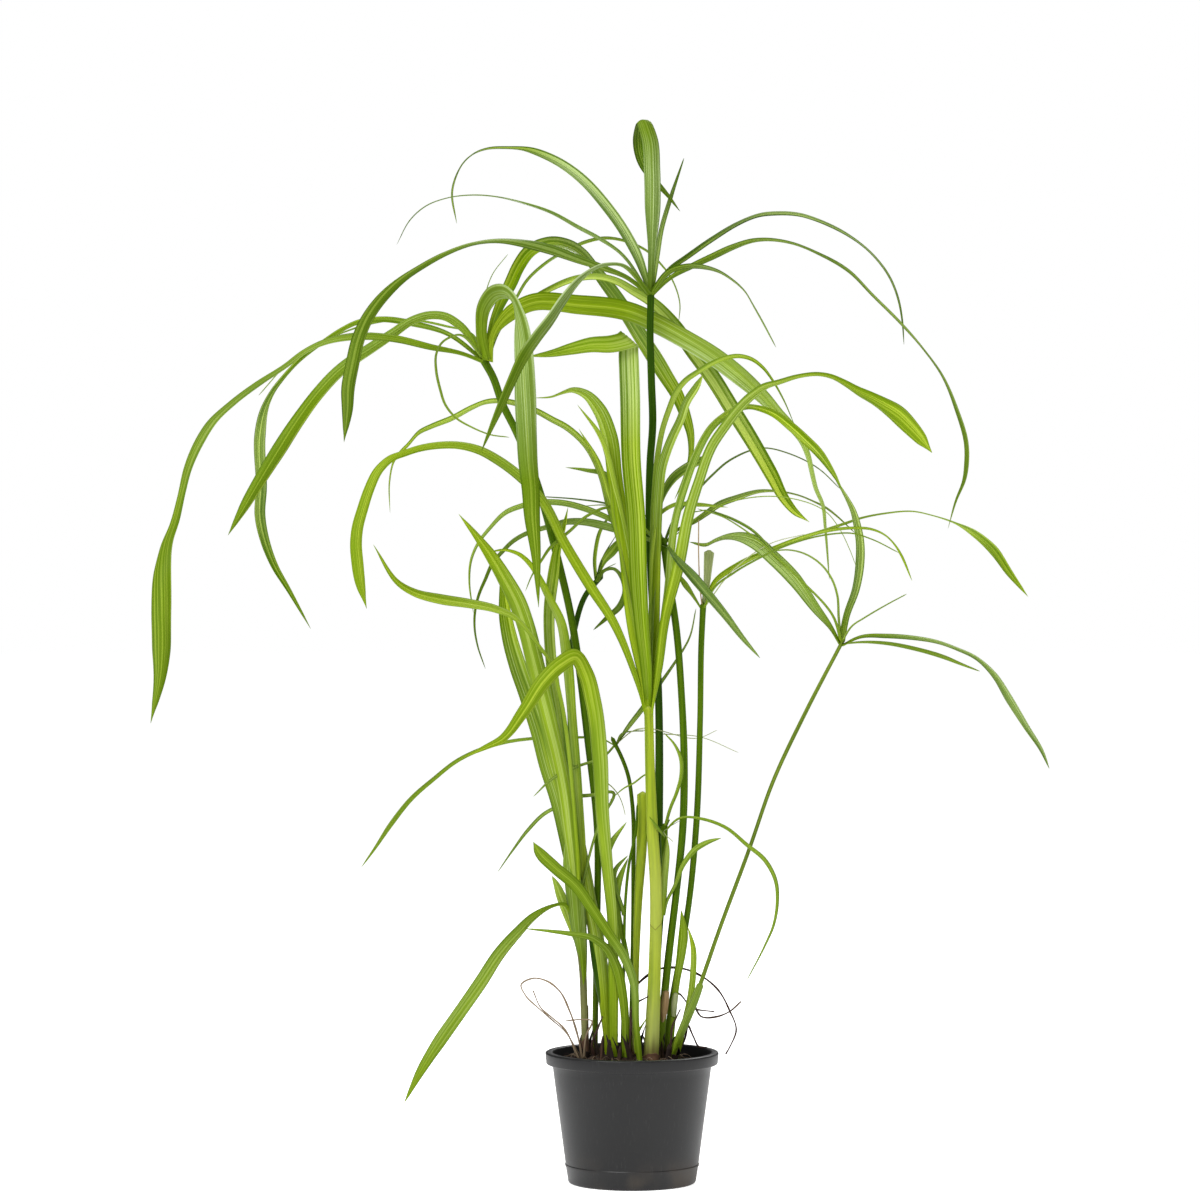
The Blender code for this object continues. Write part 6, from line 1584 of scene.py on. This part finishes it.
def make_grit(finish):
    """Crumbs, bark and fibre bits on the soil: small six-sided lumps, each squashed, turned and set at
    random."""
    rng = np.random.default_rng(CRUMB_SEED)
    radius = (pot_radius(SOIL_EDGE_Z) - POT_WALL - CRUMB_GAP) * np.sqrt(rng.uniform(0.01, 1.0, CRUMBS))
    turn = rng.uniform(0.0, 2 * math.pi, CRUMBS)
    x, y = radius * np.cos(turn), radius * np.sin(turn)
    height = soil_height(x, y, radius / POT_TOP_RADIUS) - CRUMB_SINK
    crumb = unit_crumb()
    scale = rng.uniform(*CRUMB_SIZE, (CRUMBS, 1))
    size = scale * np.stack([rng.uniform(*CRUMB_LENGTH, CRUMBS), rng.uniform(*CRUMB_BREADTH, CRUMBS),
                             rng.uniform(*CRUMB_HEIGHT, CRUMBS)], axis=1)
    uneven = 1.0 + CRUMB_UNEVEN * rng.uniform(-1, 1, (CRUMBS, len(crumb), 3))
    points = crumb[None] * uneven * size[:, None, :]
    heading, tilt = rng.uniform(0, 2 * math.pi, CRUMBS), rng.uniform(-CRUMB_TILT, CRUMB_TILT, CRUMBS)
    level, up = turned(points[..., 0], points[..., 2], tilt)
    east, north = turned(level, points[..., 1], heading)
    world = np.stack([east + x[:, None], north + y[:, None], up + height[:, None]], axis=-1)
    first_points = (np.arange(CRUMBS) * len(crumb))[:, None, None]
    quads = (tube_quads(CRUMB_RINGS, CRUMB_AROUND)[None] + first_points).reshape(-1, 4)
    skin = Skin()
    tint = np.repeat(rng.uniform(0, 1, CRUMBS), len(crumb))
    skin.add(world.reshape(-1, 3), quads, np.tile(crumb[:, :2], (CRUMBS, 1)), tint=tint)
    skin.finish("soil_crumbs", finish, "soil")


def on_mound(share, angle):
    """The place (x, y) at a share of the way from the mound's middle to its edge."""
    return (RHIZOME_CENTRE[0] + RHIZOME_HALF_SIZE[0] * share * math.cos(angle),
            RHIZOME_CENTRE[1] + RHIZOME_HALF_SIZE[1] * share * math.sin(angle))


def make_rhizome(finish):
    """The fibrous dark crown that the stems stand in: an oval mound with lumps, closed below."""
    turn = np.linspace(0.0, 2 * math.pi, MOUND_AROUND, endpoint=False)
    share = np.linspace(FIRST_RING, 1.0, MOUND_RINGS)[:, None]
    outline = 1.0 + 0.04 * np.sin(5 * turn) + 0.03 * np.cos(3 * turn)
    x = RHIZOME_CENTRE[0] + RHIZOME_HALF_SIZE[0] * share * (outline * np.cos(turn))
    y = RHIZOME_CENTRE[1] + RHIZOME_HALF_SIZE[1] * share * (outline * np.sin(turn))
    rise = RHIZOME_TOP_Z - SOIL_TOP_Z + MOUND_RISE
    dome = SOIL_TOP_Z - MOUND_EDGE_DROP + rise * np.sqrt(np.clip(1.0 - share ** 4, 0.0, 1.0))
    height = dome + LUMP_HEIGHT * lumps(x, y, *RHIZOME_LUMPS) * (1.0 - share ** 6)
    top = np.stack([x, y, height], axis=-1)
    foot = top[[-1, 0]].copy()
    foot[..., 2] = SOIL_TOP_Z - MOUND_FOOT_DROP
    points = np.concatenate([top, foot]).reshape(-1, 3)
    quads = tube_quads(MOUND_RINGS + len(foot), MOUND_AROUND)[:, ::-1]
    skin = Skin()
    skin.add(points, quads, points[:, :2] / DECIMETRE, tint=0.5)
    skin.finish("crown_mound", finish, "rhizome", "rhizome")


def add_stub(skin, x, y, height, radius, rng):
    """An old stub on the rhizome: a short blunt tube that leans a little."""
    route = Route([(x, y, STEM_BASE_Z - 1), (x + 0.5, y, STEM_BASE_Z + height * 0.6),
                   (x + 1.2, y - 0.5, RHIZOME_TOP_Z + height)], 1.0)
    radii = np.interp(route.fraction, [0, 0.8, 1], [radius, radius * 0.8, radius * 0.3])
    add_tube(skin, route, radii, rng.uniform(0, 0.5), 12, 0.1)


def add_scrap(skin, rng):
    """A torn brown scrap that stands between the stems: a short narrow blade, leaning."""
    angle = rng.uniform(0, 2 * math.pi)
    x, y = on_mound(math.sqrt(rng.uniform(0.05, 0.8)), angle)
    lean_x, lean_y = rng.uniform(-SCRAP_LEAN, SCRAP_LEAN, 2)
    high = rng.uniform(*SCRAP_HEIGHT)
    breadth = rng.uniform(*SCRAP_BREADTH)
    points = [(x, y, STEM_BASE_Z - 1),
              (x + lean_x * high * 0.4, y + lean_y * high * 0.4, STEM_BASE_Z + 0.5 * high),
              (x + lean_x * high, y + lean_y * high, STEM_BASE_Z + high)]
    add_blade(skin, points, rng.uniform(0, 360), {0: breadth, 1: 0.8 * breadth, 2: 0.4}, NO_TURN,
              rng.uniform(0, 0.4), rng, THIN_SIDE_POINTS)


def add_sheath(skin, route, radius, length, azimuth, rng):
    """A sleeve round a stem: a grid of height by angle, whose height runs up to a slanting torn edge; a
    second grid just inside it closes the wall."""
    turn = np.linspace(0.0, 2 * math.pi, SLEEVE_AROUND, endpoint=False)
    slant = 0.5 + 0.5 * np.cos(turn - azimuth)
    torn = 1.0 + 0.06 * np.sin(turn * 7 + rng.uniform(0, 6))
    top = length * (SLEEVE_LOW + (1.0 - SLEEVE_LOW) * slant ** 2.2) * torn
    rows = np.linspace(0.0, 1.0, SLEEVE_ROWS)[:, None]
    outer = rows * top
    height = np.concatenate([outer, outer[::-1]])
    flare = rows ** 3 * rng.uniform(*SLEEVE_FLARE)
    out = np.concatenate([flare + SLEEVE_HALF_WALL, flare[::-1] - SLEEVE_HALF_WALL])
    reach = (np.interp(height, route.where, radius) + out)[..., None]
    side = np.cos(turn)[:, None] * route.between(height, route.side)
    face = np.sin(turn)[:, None] * route.between(height, route.face)
    points = route.between(height, route.centre) + reach * (side + face)
    ring = np.arange(2 * SLEEVE_ROWS)[:, None] * SLEEVE_AROUND
    here = ring + np.arange(SLEEVE_AROUND)
    there = ring + (np.arange(SLEEVE_AROUND) + 1) % SLEEVE_AROUND
    here_above, there_above = np.roll(here, -1, axis=0), np.roll(there, -1, axis=0)
    quads = np.stack([here, there, there_above, here_above], axis=-1).reshape(-1, 4)
    across = np.broadcast_to(np.abs(turn / math.pi - 1.0), height.shape)
    uvs = np.stack([across, height / DECIMETRE], axis=-1)
    skin.add(points, quads, uvs, fraction=height / length, tint=rng.uniform(0, 1))


def make_stubs_and_sheaths(finish):
    """Old stubs on the rhizome, scraps between the stems, and torn sheaths round the stems' feet."""
    skin = Skin()
    rng = np.random.default_rng(SHEATH_SEED)
    for x, y, height, radius in STUBS:
        add_stub(skin, x, y, height, radius, rng)
    for _ in range(SCRAPS):
        add_scrap(skin, rng)
    for name, (_, seen, depths, radii, _) in STEMS.items():
        route = Route(ground_points(seen, depths))
        radius = route.read(route.spread(radii), 3)
        for layer, (low, high) in enumerate(SHEATHS[name]):
            add_sheath(skin, route, radius + SLEEVE_LAYER + SLEEVE_LAYER * layer, rng.uniform(low, high),
                       rng.uniform(0, 2 * math.pi), rng)
    skin.finish("brown_sheaths", finish, "sheath_brown")


def add_air_root(skin, line, rng):
    """A root that loops through the air, knobbly and narrower towards its tip. Those at the left are pale."""
    route = Route(line, 1.6)
    pale = line[0][0] < PALE_ROOTS_X
    thick = PALE_ROOT_RADIUS if pale else AIR_ROOT_RADIUS
    radius = thick * (1.0 - ROOT_TAPER * route.fraction) * (1.0 + 0.15 * np.sin(route.where / 3.1))
    add_tube(skin, route, radius, PALE_ROOT_TINT if pale else rng.uniform(0.05, 0.35), 8)


def add_fine_root(skin, rng):
    """A short fine root: it starts on the mound, rises a little, sways aside and dips into the soil."""
    angle = rng.uniform(0, 2 * math.pi)
    start = np.array([*on_mound(rng.uniform(*FINE_ROOT_SHARE), angle), STEM_BASE_Z + 0.5])
    heading = angle + rng.uniform(-FINE_ROOT_TURN, FINE_ROOT_TURN)
    length = rng.uniform(*FINE_ROOT_LENGTH)
    out = np.array([math.cos(heading), math.sin(heading), 0.0]) * length
    left = np.array([-math.sin(heading), math.cos(heading), 0.0])
    sway = left * rng.uniform(-FINE_ROOT_SWAY, FINE_ROOT_SWAY) * length
    rise = rng.uniform(*FINE_ROOT_RISE)
    line = [start, start + out * 0.35 + sway * 0.5 + (0, 0, rise),
            start + out * 0.75 + sway + (0, 0, rise * 0.4),
            start + out + sway * 1.3 + (0, 0, -FINE_ROOT_DIP)]
    route = Route(line, 1.4, fewest=8)
    radius = rng.uniform(*FINE_ROOT_RADIUS) * (1.0 - FINE_ROOT_TAPER * route.fraction)
    add_tube(skin, route, radius, rng.uniform(0, 1), 6)


def make_roots(finish):
    """The roots that loop through the air, and a mat of short fine ones over the mound's edge."""
    skin = Skin()
    rng = np.random.default_rng(ROOT_SEED)
    for line in ROOTS + AIR_ROOTS:
        add_air_root(skin, line, rng)
    for _ in range(FINE_ROOTS):
        add_fine_root(skin, rng)
    skin.finish("fine_roots", finish, "rhizome")


def make_floor():
    """A white floor, which glows a little so that it melts into the white surroundings."""
    bpy.ops.mesh.primitive_circle_add(vertices=64, radius=FLOOR_RADIUS, fill_type="NGON")
    floor = bpy.context.object
    floor.name = "floor"
    paint = Finish("floor_paint")
    floor.data.materials.append(paint.solid(FLOOR_WHITE, FLOOR_ROUGHNESS, glow=FLOOR_GLOW))


def make_surroundings(scene):
    """White all round: full white to the eye, weaker as light on the plant and weaker still in its gloss."""
    world = bpy.data.worlds.new("studio")
    scene.world = world
    world.use_nodes = True
    tree = world.node_tree
    background = tree.nodes["Background"]
    background.inputs["Color"].default_value = (1.0, 1.0, 1.0, 1.0)
    path = tree.nodes.new("ShaderNodeLightPath")
    unseen = tree.nodes.new("ShaderNodeMapRange")
    unseen.inputs["To Min"].default_value = WORLD_LIGHT
    unseen.inputs["To Max"].default_value = WORLD_SHINE
    strength = tree.nodes.new("ShaderNodeMapRange")
    strength.inputs["To Max"].default_value = 1.0
    tree.links.new(path.outputs["Is Glossy Ray"], unseen.inputs["Value"])
    tree.links.new(path.outputs["Is Camera Ray"], strength.inputs["Value"])
    tree.links.new(unseen.outputs[0], strength.inputs["To Min"])
    tree.links.new(strength.outputs[0], background.inputs["Strength"])


def make_lamps(scene):
    """Round soft lamps that point at the plant."""
    for name, (place, size, power) in LAMPS.items():
        lamp = bpy.data.lights.new(name, "AREA")
        lamp.shape = "DISK"
        lamp.size = size
        lamp.energy = power
        holder = bpy.data.objects.new(name, lamp)
        holder.location = place
        holder.rotation_euler = (Vector(LAMP_TARGET) - Vector(place)).to_track_quat("-Z", "Y").to_euler()
        scene.collection.objects.link(holder)


def make_camera(scene):
    """The camera, at the eye and level."""
    camera_data = bpy.data.cameras.new("camera")
    camera_data.lens = LENS
    camera_data.sensor_width = SENSOR
    camera_data.clip_end = CLIP_END
    camera = bpy.data.objects.new("camera", camera_data)
    camera.location = EYE * MM
    camera.rotation_euler = (math.radians(90.0), 0.0, 0.0)
    scene.collection.objects.link(camera)
    scene.camera = camera


def make_studio():
    """A white floor and white surroundings, soft light from above and in front, and the camera."""
    scene = bpy.context.scene
    scene.view_settings.view_transform = "Standard"
    make_floor()
    make_surroundings(scene)
    make_lamps(scene)
    make_camera(scene)


def make_finishes():
    """The finish of each leaf, stem, sheath, root and crumb, and of the earth."""
    finishes = {name: leaf_finish("leaf_%s_finish" % name, *look) for name, look in LEAF_FINISHES.items()}
    for name, look in STEM_FINISHES.items():
        finishes[name] = stem_finish(name + "_finish", *look)
    for name, look in DRY_FINISHES.items():
        finishes[name] = dry_finish(name + "_finish", *look)
    for name, look in EARTH_FINISHES.items():
        finishes[name] = earth_finish(name + "_finish", *look)
    finishes["dry"] = finishes["leaf_dry"]
    return finishes


def make_plant():
    """Every piece of the plant and its pot, with its finish."""
    finishes = make_finishes()
    make_leaves(finishes)
    make_stems(finishes)
    make_thin_leaves(finishes)
    make_pot(pot_finish())
    make_soil(finishes["soil"])
    make_grit(finishes["crumb"])
    make_rhizome(finishes["rhizome"])
    make_stubs_and_sheaths(finishes["sheath_brown"])
    make_roots(finishes["root"])


make_studio()
make_plant()
